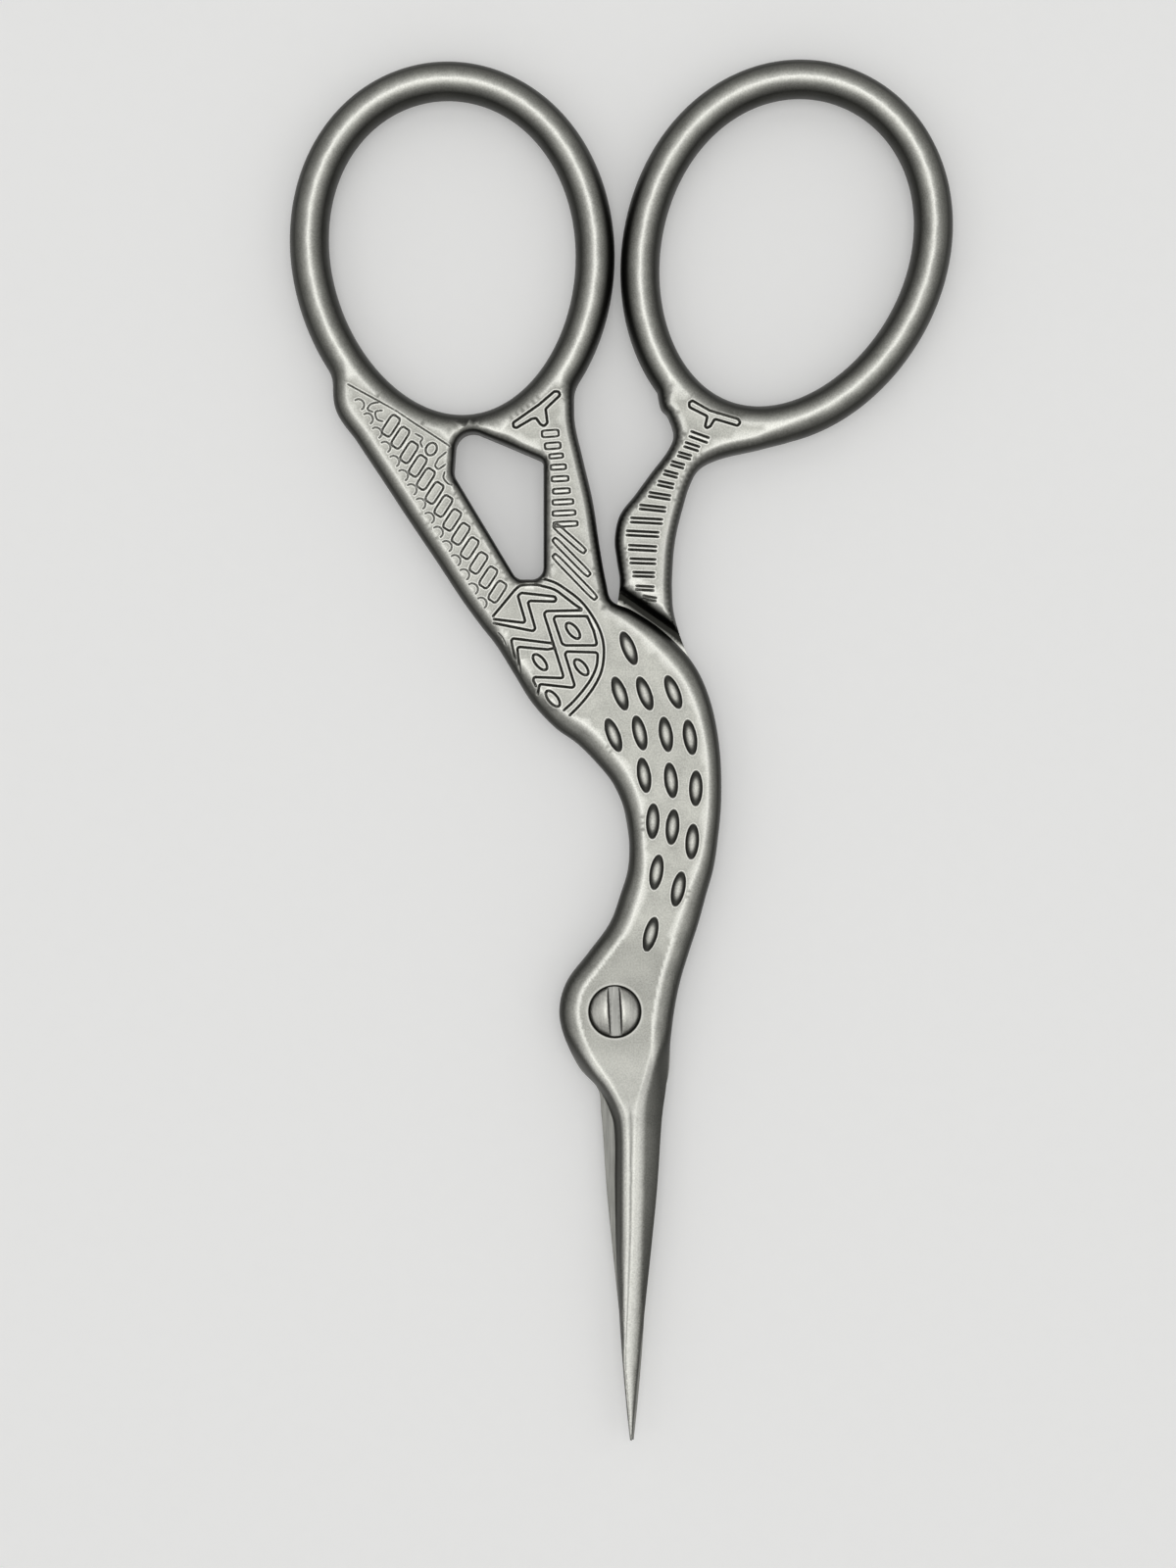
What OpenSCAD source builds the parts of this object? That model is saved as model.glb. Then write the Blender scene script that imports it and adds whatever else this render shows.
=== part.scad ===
// Stork embroidery scissors, closed, lying flat.
// Two halves lapped at a slotted pivot screw. Lengths are in millimetres.
// Outlines are given about the pivot: x to the right, y towards the finger rings.

/* [Thickness] */
// Thickness of the rings, the tail and the legs
full_t = 3.4; // [3:0.1:4.4]
// Gap between the mating faces of the two halves
face_gap = 0.08; // [0.04:0.01:0.2]
// Clearance between a half's edge and the other half's lap shoulder
lap_gap = 0.44; // [0.25:0.01:0.8]

/* [Finger rings] */
// Width of a finger opening
finger_w = 16.9; // [14:0.1:22]
// Height of a finger opening
finger_h = 21.7; // [18:0.1:28]
// Width of the ring bar seen from above
bar_w = 2.7; // [2:0.1:3.6]
// How much fuller the upper half of the egg-shaped ring is
egg = 0.06; // [0:0.01:0.12]
// Lean of the front half's ring, in degrees
front_lean = 6.6; // [0:0.2:12]
// Lean of the back half's ring, in degrees
back_lean = -20; // [-26:0.5:-10]
// Gap left between the rings where they stop the closing
ring_gap = 0.4; // [0.2:0.05:1]

/* [Bird] */
// Height of the rounded shoulder along the bird's edges
shoulder_h = 1.2; // [0.6:0.1:1.3]
// Width of the tail shoulder
tail_shoulder = 1.0; // [0.5:0.1:1.4]
// Width of the leg shoulders
leg_shoulder = 0.7; // [0.3:0.1:1]
// Softened edge of the three-cornered opening
opening_edge = 0.35; // [0.1:0.05:0.6]

/* [Blades] */
// Distance from the pivot to the tips
blade_reach = 29.6; // [25:0.1:36]
// Width of a blade at its root
blade_w = 3.17; // [2.6:0.05:3.6]
// Width of a blade at its tip
tip_w = 0.14; // [0.1:0.02:0.4]
// Thickness of a blade at its root
blade_t = 1.45; // [1.1:0.05:1.6]
// Thickness of a blade at its tip
tip_t = 0.5; // [0.4:0.05:0.9]
// Height of the flat land along the cutting edge
edge_land = 0.2; // [0.1:0.02:0.4]
// Height of the straight side along the back of a blade
spine_land = 0.55; // [0.3:0.05:0.9]

/* [Pivot screw] */
// Diameter of the shank in the front half
shank_d = 2.4; // [2:0.05:2.8]
// Running clearance round the shank, on the radius
run_gap = 0.04; // [0.02:0.01:0.08]
// Diameter of the threaded end in the back half
thread_d = 2; // [1.6:0.05:2]
// Diameter of the head
head_d = 3.4; // [3:0.05:4]
// Gap round the head in its counterbore, on the radius
head_gap = 0.15; // [0.05:0.01:0.3]
// Depth of the counterbore
head_seat = 0.8; // [0.5:0.05:1]
// Height of the domed crown of the head
crown_h = 0.25; // [0.1:0.05:0.35]
// Width of the screwdriver slot
slot_w = 0.7; // [0.4:0.05:0.9]
// Depth of the screwdriver slot
slot_t = 0.45; // [0.3:0.05:0.6]
// Turn of the slot away from the length of the scissors, in degrees
slot_turn = 3; // [-30:1:30]

/* [Hidden] */
$fn = 64;

satin = [0.36, 0.36, 0.34];
bright = [0.58, 0.58, 0.54];

half_t = full_t / 2;
side_wall = half_t - shoulder_h;

// Where the rings meet, and the lowest point of each ring bar's middle
contact_x = 0.2;
front_ring_floor = 39.7;
back_ring_floor = 40.3;

// The beak: its middle line, the start of the straight blade, where the front blade's tip
// and ridge lie, and how the edge and the width curve from root to tip
beak_x = 1.18;
blade_root = 8.5;
tip_x = 1.05;
ridge_x = 1.15;
ridge_drift = 0.45;
edge_bow = 2.3;
width_bow = 1.4;

// Facets of a shoulder, sides of the ring bar, sections round a ring and steps between stations
shoulder_steps = 3;
bar_sides = 12;
ring_steps = 56;
station_steps = 2;

function mix(a, b, f) = a + (b - a) * f;

// A smooth run through the rows, with n steps from each row to the next
function between(a, b, c, d, s) =
    0.5 * (2 * b + (c - a) * s + (2 * a - 5 * b + 4 * c - d) * s * s
        + (3 * b - a - 3 * c + d) * s * s * s);
function smooth(rows, n) = let (last = len(rows) - 1) [
    for (i = [0 : last - 1], k = [0 : n - 1])
        between(rows[max(i - 1, 0)], rows[i], rows[i + 1], rows[min(i + 2, last)], k / n),
    rows[last]
];

// A closed solid through sections that all have the same number of points. Its ends are
// fans about their middle points, unless the last section runs on into the first.
function middle(points) = [for (s = points) 1] * points / len(points);
module loft(sections, closed = false) {
    n = len(sections);
    m = len(sections[0]);
    sides = [
        for (i = [0 : closed ? n - 1 : n - 2], j = [0 : m - 1])
            let (a = i * m + j, b = i * m + (j + 1) % m,
                 c = ((i + 1) % n) * m + (j + 1) % m, d = ((i + 1) % n) * m + j)
            each [[a, b, c], [a, c, d]]
    ];
    first = [for (j = [0 : m - 1]) [n * m, (j + 1) % m, j]];
    last = [for (j = [0 : m - 1]) [n * m + 1, (n - 1) * m + j, (n - 1) * m + (j + 1) % m]];
    polyhedron(
        points = [each for (s = sections) s, middle(sections[0]), middle(sections[n - 1])],
        faces = closed ? sides : concat(sides, first, last),
        convexity = 8
    );
}

// The finger rings are eggs: a circle stretched to size, fuller above, and leaned over.
function egg_point(t, lean, grow = 0) =
    let (x = ((finger_w + bar_w) / 2 + grow) * sin(t) * (1 + egg * cos(t)),
         y = ((finger_h + bar_w) / 2 + grow) * cos(t))
    [x * cos(lean) - y * sin(lean), x * sin(lean) + y * cos(lean)];
function egg_path(lean, grow = 0) = [
    for (i = [0 : ring_steps - 1]) egg_point(360 * i / ring_steps, lean, grow)
];
function lowest(path) = min([for (p = path) p.y]);

front_egg = egg_path(front_lean);
back_egg = egg_path(back_lean);
front_centre = [
    contact_x - (ring_gap + bar_w) / 2 - max([for (p = front_egg) p.x]),
    front_ring_floor - lowest(front_egg)
];
back_centre = [
    contact_x + (ring_gap + bar_w) / 2 - min([for (p = back_egg) p.x]),
    back_ring_floor - lowest(back_egg)
];
front_path = [for (p = front_egg) front_centre + p];
back_path = [for (p = back_egg) back_centre + p];

// The handle plate ends beside the flat crest of the ring bar.
crest = bar_w / 2 * tan(180 / bar_sides) + 0.05;
front_hole = [for (p = egg_path(front_lean, crest)) front_centre + p];
back_hole = [for (p = egg_path(back_lean, crest)) back_centre + p];

// A point on the middle of each ring's bar, by its angle clockwise from the top of the egg
function front_at(t) = front_centre + egg_point(t, front_lean);
function back_at(t) = back_centre + egg_point(t, back_lean);

// The bar is an oval tube whose flats touch the oval.
function bar_section(path, i) =
    let (n = len(path), step = path[(i + 1) % n] - path[(i + n - 1) % n],
         out = [-step.y, step.x] / norm(step), swell = 1 / cos(180 / bar_sides))
    [for (j = [0 : bar_sides - 1])
        let (a = -360 * (j + 0.5) / bar_sides,
             reach = bar_w / 2 * swell * cos(a))
        [path[i].x + out.x * reach, path[i].y + out.y * reach, half_t * swell * sin(a)]];

module ring_bar(path) {
    loft([for (i = [0 : len(path) - 1]) bar_section(path, i)], closed = true);
}

// A station is a row: left edge x, y, right edge x, y, left and right shoulder width,
// half thickness at the flat, half thickness at each edge, and how straight the shoulders are.
function shoulder(reach, low, high, straight) = [
    for (k = [0 : shoulder_steps])
        let (a = 90 * k / shoulder_steps)
        [reach * (1 - cos(a)), low + (high - low) * mix(sin(a), 1 - cos(a), straight)]
];
function section(row) =
    let (left = [row[0], row[1]], right = [row[2], row[3]], w = norm(right - left),
         across = (right - left) / w,
         rise = shoulder(row[4], row[7], row[6], row[9]),
         fall = shoulder(row[5], row[8], row[6], row[9]),
         upper = concat(
             [for (p = rise) [p[0], p[1]]],
             [for (k = [shoulder_steps : -1 : 0]) [w - fall[k][0], fall[k][1]]]),
         n = len(upper),
         outline = concat(upper, [for (k = [n - 1 : -1 : 0]) [upper[k][0], -upper[k][1]]]))
    [for (p = outline) [left.x + across.x * p[0], left.y + across.y * p[0], p[1]]];

// A full-thickness station with round shoulders
function plate(lx, ly, rx, ry, ls, rs) =
    [lx, ly, rx, ry, ls, rs, half_t, side_wall, side_wall, 0];

// Blade stations from root to tip: the width and the cutting edge follow simple power curves.
function blade_row(f) =
    let (y = -mix(blade_root, blade_reach, f),
         edge_x = tip_x * pow(f, edge_bow),
         w = mix(blade_w, tip_w, pow(f, width_bow)),
         ridge = max(ridge_x - ridge_drift * f - edge_x, 0.3 * w),
         flat = 0.04 * w)
    [edge_x, y, edge_x + w, y, ridge, w - ridge - flat,
     mix(blade_t, tip_t, f), edge_land, mix(spine_land, 0.8 * tip_t, f), 1];
function mirrored(row) = [
    2 * beak_x - row[2], row[3], 2 * beak_x - row[0], row[1],
    row[5], row[4], row[6], row[8], row[7], row[9]
];
blade_stations = [for (f = [0, 0.18, 0.36, 0.54, 0.72, 0.88, 1]) blade_row(f)];

// The face narrows to the ridge between the head and the root of the blade.
head_to_blade = [
    [-1.10, -5.4, blade_w + 0.35, -5.4, 1.2, 1.5,
     mix(half_t, blade_t, 0.1), 2 * edge_land, spine_land, 0.2],
    [-0.30, -7.0, blade_w + 0.13, -7.0, 1.0, 1.8,
     mix(half_t, blade_t, 0.5), 1.5 * edge_land, spine_land, 0.6],
];

// The neck and head, which both halves share
neck = [
    plate(0.98, 11.8, 7.10, 11.8, 1.0, 0.9),
    plate(0.92, 9.8, 6.80, 9.8, 1.2, 0.8),
    plate(0.40, 8.0, 6.30, 8.0, 1.3, 0.7),
    plate(-0.35, 6.0, 5.75, 6.0, 1.2, 0.7),
    plate(-1.80, 4.0, 5.10, 4.0, 1.1, 0.7),
    plate(-3.30, 2.0, 4.50, 2.0, 1.1, 0.75),
    plate(-3.82, 0.0, 4.10, 0.0, 1.2, 0.8),
    plate(-3.40, -2.0, 3.85, -2.0, 1.2, 0.9),
];

// The bird's back edge on the front half, and the edge of the back half hidden under the body
back_edge = [2.7, 26.6];
lap_edge = [[0.1, 27.6], [-0.6, 25.0], [-1.2, 22.0], [-1.5, 20.0], [-1.1, 18.0]];

front_rows = concat(
    [
        plate(front_at(246).x, front_at(246).y, front_at(128).x, front_at(128).y,
            tail_shoulder, leg_shoulder),
        plate(-19.30, 41.70, -2.80, 42.1, tail_shoulder, leg_shoulder),
        plate(-17.70, 39.10, -2.72, 40.3, tail_shoulder, leg_shoulder),
        plate(-15.94, 36.45, -2.20, 38.0, tail_shoulder, leg_shoulder),
        plate(-14.07, 33.60, -1.50, 35.0, tail_shoulder, leg_shoulder),
        plate(-12.25, 30.90, -1.05, 32.0, tail_shoulder, leg_shoulder),
        plate(-10.54, 28.30, -0.60, 29.5, tail_shoulder, leg_shoulder),
        plate(-9.30, 26.60, -0.20, 28.2, tail_shoulder, leg_shoulder),
        plate(-8.13, 25.10, 1.10, 27.6, tail_shoulder, 1.0),
        plate(-6.92, 23.15, back_edge.x, back_edge.y, tail_shoulder, 1.2),
        plate(-5.70, 21.20, 4.00, 25.5, tail_shoulder, 1.3),
        plate(-4.13, 19.50, 5.25, 24.1, tail_shoulder, 1.3),
        plate(-2.60, 18.40, 6.15, 22.5, tail_shoulder, 1.2),
        plate(-1.30, 17.10, 6.85, 20.3, 1.0, 1.1),
        plate(-0.10, 15.60, 7.27, 17.5, 1.0, 1.0),
        plate(0.70, 13.70, 7.33, 14.4, 1.0, 1.0),
    ],
    neck,
    [plate(-2.30, -4.0, 3.66, -4.0, 1.3, 1.2)],
    head_to_blade,
    blade_stations
);

back_rows = concat(
    [
        plate(back_at(226).x, back_at(226).y, back_at(146).x, back_at(146).y, leg_shoulder, 0.9),
        plate(3.05, 41.9, 12.80, 39.50, leg_shoulder, 0.9),
        plate(3.65, 40.9, 10.20, 38.70, leg_shoulder, 0.9),
        plate(4.05, 39.6, 7.40, 38.05, leg_shoulder, 0.9),
        plate(3.60, 38.45, 5.85, 37.30, leg_shoulder, leg_shoulder),
        plate(2.50, 37.0, 5.15, 36.1, leg_shoulder, leg_shoulder),
        plate(1.40, 35.5, 4.72, 34.7, leg_shoulder, leg_shoulder),
        plate(0.35, 34.1, 4.35, 33.3, leg_shoulder, leg_shoulder),
        plate(0.00, 32.5, 4.10, 31.9, leg_shoulder, leg_shoulder),
        plate(0.15, 31.0, 3.98, 30.4, leg_shoulder, leg_shoulder),
        plate(0.35, 29.5, 3.95, 28.9, leg_shoulder, leg_shoulder),
        plate(lap_edge[0].x, lap_edge[0].y, 4.10, 27.2, leg_shoulder, leg_shoulder),
        plate(lap_edge[1].x, lap_edge[1].y, 4.85, 24.9, leg_shoulder, 1.0),
        plate(lap_edge[2].x, lap_edge[2].y, 6.25, 22.2, leg_shoulder, 1.2),
        plate(lap_edge[3].x, lap_edge[3].y, 6.88, 20.0, leg_shoulder, 1.1),
        plate(lap_edge[4].x, lap_edge[4].y, 7.22, 18.0, leg_shoulder, 1.0),
        plate(-0.40, 16.3, 7.33, 16.2, 0.9, 1.0),
        plate(0.50, 14.4, 7.30, 14.2, 1.0, 1.0),
    ],
    neck,
    [plate(-2.40, -4.0, 3.76, -4.0, 1.4, 1.2)],
    [for (row = concat(head_to_blade, blade_stations)) mirrored(row)]
);

// Where each half is cut back to the mating plane, as outlines that reach past the bird.
// The front half's shoulder follows the hidden edge, and the back half's is a slanted line
// beside the bird's back.
far = 60;
back_slant = -35;
front_lap = concat(
    [[far, lap_edge[0].y + 2], [lap_edge[0].x - lap_gap, lap_edge[0].y + 2]],
    [for (p = lap_edge) [p.x - lap_gap, p.y]],
    [[-far, -5], [-far, -far], [far, -far]]
);
back_foot = back_edge + lap_gap * [-sin(back_slant), cos(back_slant)];
back_lap = [
    back_foot - far * [cos(back_slant), sin(back_slant)],
    back_foot + far * [cos(back_slant), sin(back_slant)],
    [far, -far],
    [-far, -far]
];

// Corners of the three-cornered opening between tail and leg: x, y and radius
opening_corners = [
    [-9.75, 38.55, 1.2], [-5.30, 37.55, 0.4], [-5.70, 30.45, 0.8],
    [-6.35, 30.35, 0.7], [-9.95, 37.10, 1.1]
];

// Centre of the whole outline seen from above, which the model stands on
x_mid = (min([for (p = front_path) p.x]) + max([for (p = back_path) p.x])) / 2;
y_mid = (max([for (p = concat(front_path, back_path)) p.y]) + bar_w / 2 - blade_reach) / 2;

module seated() {
    translate([-x_mid, -y_mid, half_t]) children();
}

// A half before it is cut back to its mating face: ring, handle, bird and blade in one
module blank(path, hole, rows) {
    union() {
        ring_bar(path);
        difference() {
            loft([for (row = smooth(rows, station_steps)) section(row)]);
            linear_extrude(height = 2 * full_t, center = true)
                polygon(hole);
        }
    }
}

// Everything above the mating plane, inside an outline, for the half that lies below it
module lap_cut(outline) {
    translate([0, 0, -face_gap / 2])
        linear_extrude(height = full_t)
            polygon(outline);
}

// The three-cornered opening grown by some width over a height, and widened towards the top
module opening_block(h, widen) {
    hull()
        for (corner = opening_corners)
            translate([corner[0], corner[1], 0])
                cylinder(h = h, r1 = corner[2], r2 = corner[2] + widen, $fn = 24);
}
module opening_cut() {
    translate([0, 0, -full_t])
        opening_block(2 * full_t, 0);
    for (side = [0, 1])
        mirror([0, 0, side])
            translate([0, 0, half_t - opening_edge])
                opening_block(2 * opening_edge, 2 * opening_edge);
}

module top_half() {
    color(satin)
        seated()
            difference() {
                blank(front_path, front_hole, front_rows);
                opening_cut();
                mirror([0, 0, 1])
                    lap_cut(front_lap);
                cylinder(h = 2 * full_t, d = shank_d + 2 * run_gap, center = true);
                translate([0, 0, half_t - head_seat])
                    cylinder(h = full_t, d = head_d + 2 * head_gap);
            }
}

module bottom_half() {
    color(satin)
        seated()
            difference() {
                blank(back_path, back_hole, back_rows);
                lap_cut(back_lap);
                cylinder(h = 2 * full_t, d = thread_d, center = true);
            }
}

module pivot_screw() {
    dome_r = (pow(head_d / 2, 2) + pow(crown_h, 2)) / (2 * crown_h);
    color(bright)
        seated()
            difference() {
                union() {
                    translate([0, 0, -half_t])
                        cylinder(h = half_t + face_gap / 2, d = thread_d);
                    translate([0, 0, -face_gap / 2])
                        cylinder(h = half_t - head_seat + face_gap / 2, d = shank_d);
                    translate([0, 0, half_t - head_seat])
                        intersection() {
                            cylinder(h = head_seat, d = head_d);
                            translate([0, 0, head_seat - dome_r])
                                sphere(r = dome_r);
                        }
                }
                rotate([0, 0, slot_turn])
                    translate([-slot_w / 2, -head_d, half_t - slot_t])
                        cube([slot_w, 2 * head_d, full_t]);
            }
}

top_half();
bottom_half();
pivot_screw();
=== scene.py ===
"""Stork embroidery scissors, closed, on a pale floor.

Each half is one slab: a triangulated upper and lower face over the half's outline, raised by a node tree
to round shoulders, ring bars and blade bevels, and carved by a second part of the tree along the marks.
Outlines are in millimetres about the pivot, x to the right and y towards the finger rings, and a finished
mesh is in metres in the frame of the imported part.
"""

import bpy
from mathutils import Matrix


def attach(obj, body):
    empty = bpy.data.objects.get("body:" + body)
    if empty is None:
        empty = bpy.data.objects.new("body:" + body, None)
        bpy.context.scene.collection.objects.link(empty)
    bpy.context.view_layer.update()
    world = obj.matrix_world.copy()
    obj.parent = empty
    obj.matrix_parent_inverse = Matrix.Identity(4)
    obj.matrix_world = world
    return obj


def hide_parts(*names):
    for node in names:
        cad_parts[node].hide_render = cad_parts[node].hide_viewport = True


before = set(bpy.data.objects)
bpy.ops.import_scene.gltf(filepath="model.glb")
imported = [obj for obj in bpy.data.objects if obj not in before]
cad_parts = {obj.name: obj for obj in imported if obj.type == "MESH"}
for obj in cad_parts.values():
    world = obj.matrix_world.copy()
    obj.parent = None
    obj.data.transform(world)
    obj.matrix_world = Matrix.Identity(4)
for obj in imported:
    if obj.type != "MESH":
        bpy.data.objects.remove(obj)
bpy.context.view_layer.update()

import logging
import math
from collections.abc import Callable, Iterable, Sequence
from dataclasses import dataclass, field
from enum import Enum
from typing import Any

import bpy
import numpy as np
from mathutils import Vector
from mathutils.geometry import delaunay_2d_cdt
from mathutils.kdtree import KDTree

LOG = logging.getLogger("stork_scissors")

Array = np.ndarray
Colour = tuple[float, float, float]

MM = 0.001
# The part's origin, seen from the pivot
X_MID, Y_MID = 0.462988, 17.9598
# Half the closed scissors' thickness
HALF_T = 1.7
# Half the gap between the two mating faces
MATING_Z = 0.04
# How high a plate's side stands straight, above the middle
SIDE_WALL = 0.5
# The middle of the closed beak, about which the back blade mirrors the front one
BEAK_MIDDLE = 1.18
TOP, BOTTOM = 1, -1


# ---------------------------------------------------------------- node trees


class Socket:
    """A node's output that takes part in Python expressions, each of which adds Math nodes."""

    def __init__(self, graph: "Graph", link: bpy.types.NodeSocket) -> None:
        """Keeps the graph and the output socket."""
        self.graph = graph
        self.link = link

    def _math(self, operation: str, *values: Any) -> "Socket":
        """One Math node over the values."""
        return self.graph.node("ShaderNodeMath", {"operation": operation}, dict(enumerate(values)))

    def __add__(self, other: Any) -> "Socket":
        """self + other"""
        return self._math("ADD", self, other)

    __radd__ = __add__

    def __sub__(self, other: Any) -> "Socket":
        """self - other"""
        return self._math("SUBTRACT", self, other)

    def __rsub__(self, other: Any) -> "Socket":
        """other - self"""
        return self._math("SUBTRACT", other, self)

    def __mul__(self, other: Any) -> "Socket":
        """self * other"""
        return self._math("MULTIPLY", self, other)

    __rmul__ = __mul__

    def __truediv__(self, other: Any) -> "Socket":
        """self / other"""
        return self._math("DIVIDE", self, other)

    def root(self) -> "Socket":
        """Square root, of nothing less than 0."""
        return self._math("SQRT", self.above(0.0))

    def above(self, other: Any) -> "Socket":
        """The larger of self and other."""
        return self._math("MAXIMUM", self, other)

    def below(self, other: Any) -> "Socket":
        """The smaller of self and other."""
        return self._math("MINIMUM", self, other)

    def ramp(self, low: Any, high: Any, smooth: bool = True) -> "Socket":
        """0 at low and 1 at high, clamped.

        Args:
            low: where it is 0.
            high: where it is 1.
            smooth: whether the run between is smooth or straight.

        Returns:
            The share.
        """
        kind = "SMOOTHSTEP" if smooth else "LINEAR"
        return self.graph.node(
            "ShaderNodeMapRange",
            {"interpolation_type": kind},
            {"Value": self, "From Min": low, "From Max": high},
        )

    def band(self, rise: tuple[float, float], fall: tuple[float, float], drop: float = 1.0) -> "Socket":
        """Up from 0 to 1 along the first run, then down by the drop along the second."""
        return self.ramp(*rise) * (1 - self.ramp(*fall) * drop)


class Graph:
    """Builds a node tree from Python calls."""

    def __init__(self, tree: bpy.types.NodeTree) -> None:
        """Keeps the tree."""
        self.tree = tree

    @staticmethod
    def _pick(sockets: Any, key: int | str) -> bpy.types.NodeSocket:
        """The socket at a position, or the first one in use with a name.

        Args:
            sockets: a node's inputs or outputs.
            key: a position or a name.

        Returns:
            The socket.
        """
        if isinstance(key, int):
            return sockets[key]
        return next(s for s in sockets if s.name == key and s.enabled)

    def node(
        self,
        kind: str,
        settings: dict[str, Any] | None = None,
        inputs: dict[Any, Any] | None = None,
        output: int | str = 0,
    ) -> Socket:
        """Adds a node.

        Args:
            kind: the node's type.
            settings: its own settings, set first.
            inputs: a value or a Socket for each input, by name or position.
            output: the output to return, by name or position.

        Returns:
            That output.
        """
        made = self.tree.nodes.new(kind)
        for name, value in (settings or {}).items():
            setattr(made, name, value)
        for key, value in (inputs or {}).items():
            socket = self._pick(made.inputs, key)
            if isinstance(value, Socket):
                self.tree.links.new(value.link, socket)
            elif socket.type == "RGBA" and len(value) == 3:
                socket.default_value = (*value, 1.0)
            else:
                socket.default_value = value
        return Socket(self, self._pick(made.outputs, output))

    def blend(self, factor: Any, first: Any, second: Any) -> Socket:
        """A colour between two, by a factor."""
        return self.node(
            "ShaderNodeMix", {"data_type": "RGBA"}, {"Factor": factor, "A": first, "B": second}, "Result"
        )

    def vector(self, x: Any, y: Any, z: Any) -> Socket:
        """A vector from its three parts."""
        return self.node("ShaderNodeCombineXYZ", None, {"X": x, "Y": y, "Z": z})

    def part(self, vector: Socket, axis: str) -> Socket:
        """One part of a vector, by its axis."""
        return self.node("ShaderNodeSeparateXYZ", None, {"Vector": vector}, axis)

    def surface(self, shader: Socket) -> None:
        """Ends a material's tree in a shader."""
        end = self.tree.nodes.new("ShaderNodeOutputMaterial")
        self.tree.links.new(shader.link, end.inputs["Surface"])


class ShapeTree(Graph):
    """A geometry node tree with named inputs, which ends in Realize Instances and Set Material."""

    def __init__(self, name: str) -> None:
        """Starts the tree with a geometry and a material input.

        Args:
            name: the tree's name.
        """
        super().__init__(bpy.data.node_groups.new(name, "GeometryNodeTree"))
        face = self.tree.interface
        face.new_socket(name="Geometry", in_out="INPUT", socket_type="NodeSocketGeometry")
        face.new_socket(name="Geometry", in_out="OUTPUT", socket_type="NodeSocketGeometry")
        self.entry = self.tree.nodes.new("NodeGroupInput")
        self.identifiers: dict[str, str] = {}
        self.material = self.input("Material", "NodeSocketMaterial")
        self.geometry = Socket(self, self.entry.outputs["Geometry"])

    def input(self, name: str, kind: str = "NodeSocketFloat", value: Any = None) -> Socket:
        """Adds a named input.

        Args:
            name: the input's name.
            kind: its socket type.
            value: its default.

        Returns:
            The input, for use in the tree.
        """
        item = self.tree.interface.new_socket(name=name, in_out="INPUT", socket_type=kind)
        if value is not None:
            item.default_value = value
        self.identifiers[name] = item.identifier
        return Socket(self, self.entry.outputs[name])

    def attribute(self, name: str) -> Socket:
        """Reads a named attribute of the geometry."""
        return self.node("GeometryNodeInputNamedAttribute", {"data_type": "FLOAT"}, {"Name": name}, "Attribute")

    def store(self, geometry: Socket, name: str, value: Any) -> Socket:
        """Stores a number at each point.

        Args:
            geometry: the points.
            name: the attribute's name.
            value: the number.

        Returns:
            The geometry with its attribute.
        """
        return self.node(
            "GeometryNodeStoreNamedAttribute",
            {"data_type": "FLOAT", "domain": "POINT"},
            {"Geometry": geometry, "Name": name, "Value": value},
        )

    def finish(self, geometry: Socket) -> None:
        """Ends the tree.

        Args:
            geometry: what the tree gives.
        """
        real = self.node("GeometryNodeRealizeInstances", None, {"Geometry": geometry})
        dressed = self.node("GeometryNodeSetMaterial", None, {"Geometry": real, "Material": self.material})
        end = self.tree.nodes.new("NodeGroupOutput")
        self.tree.links.new(dressed.link, end.inputs["Geometry"])

    def bake(self, source: bpy.types.Object, values: dict[str, Any]) -> bpy.types.Mesh:
        """Runs the tree on an object.

        Args:
            source: the object, which is left as it was.
            values: the inputs' values, by name.

        Returns:
            The result as a plain mesh.
        """
        modifier = source.modifiers.new(self.tree.name, "NODES")
        modifier.node_group = self.tree
        for name, value in values.items():
            modifier[self.identifiers[name]] = value
        depsgraph = bpy.context.evaluated_depsgraph_get()
        result = bpy.data.meshes.new_from_object(
            source.evaluated_get(depsgraph), preserve_all_data_layers=True, depsgraph=depsgraph
        )
        source.modifiers.remove(modifier)
        return result


# ---------------------------------------------------------------- plane geometry


def smooth_rows(rows: Sequence[Sequence[float]], steps: int) -> Array:
    """A smooth run through rows of numbers.

    Args:
        rows: the rows.
        steps: the steps from each row to the next.

    Returns:
        The rows in between and the last row.
    """
    table = np.array(rows, float)
    before = np.vstack([table[:1], table[:-2]])
    after = np.vstack([table[2:], table[-1:]])
    a, b, c, d = before, table[:-1], table[1:], after
    runs = []
    for s in np.arange(steps) / steps:
        runs.append(
            0.5 * (2 * b + (c - a) * s + (2 * a - 5 * b + 4 * c - d) * s**2 + (3 * b - a - 3 * c + d) * s**3)
        )
    return np.vstack([np.stack(runs, 1).reshape(-1, table.shape[1]), table[-1:]])


def circle(radius: float, count: int, centre: Sequence[float] = (0.0, 0.0)) -> Array:
    """Points on a circle, counter-clockwise."""
    t = np.arange(count) * (2 * math.pi / count)
    return np.array(centre) + radius * np.stack([np.cos(t), np.sin(t)], 1)


def turned(points: Array, degrees: float) -> Array:
    """Points turned about the origin, counter-clockwise."""
    c, s = math.cos(math.radians(degrees)), math.sin(math.radians(degrees))
    return points @ np.array([[c, s], [-s, c]])


def share_of(value: Any, run: Any = 1.0) -> Array:
    """How much of a run a value has covered, from 0 to 1."""
    return np.clip(value / run, 0, 1)


def soft_line(away: Array, half: float, core: float = 1.3) -> Array:
    """1 on a line and near it, fading to 0 at about a half width away."""
    return np.clip(core - away / half, 0, 1)


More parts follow.
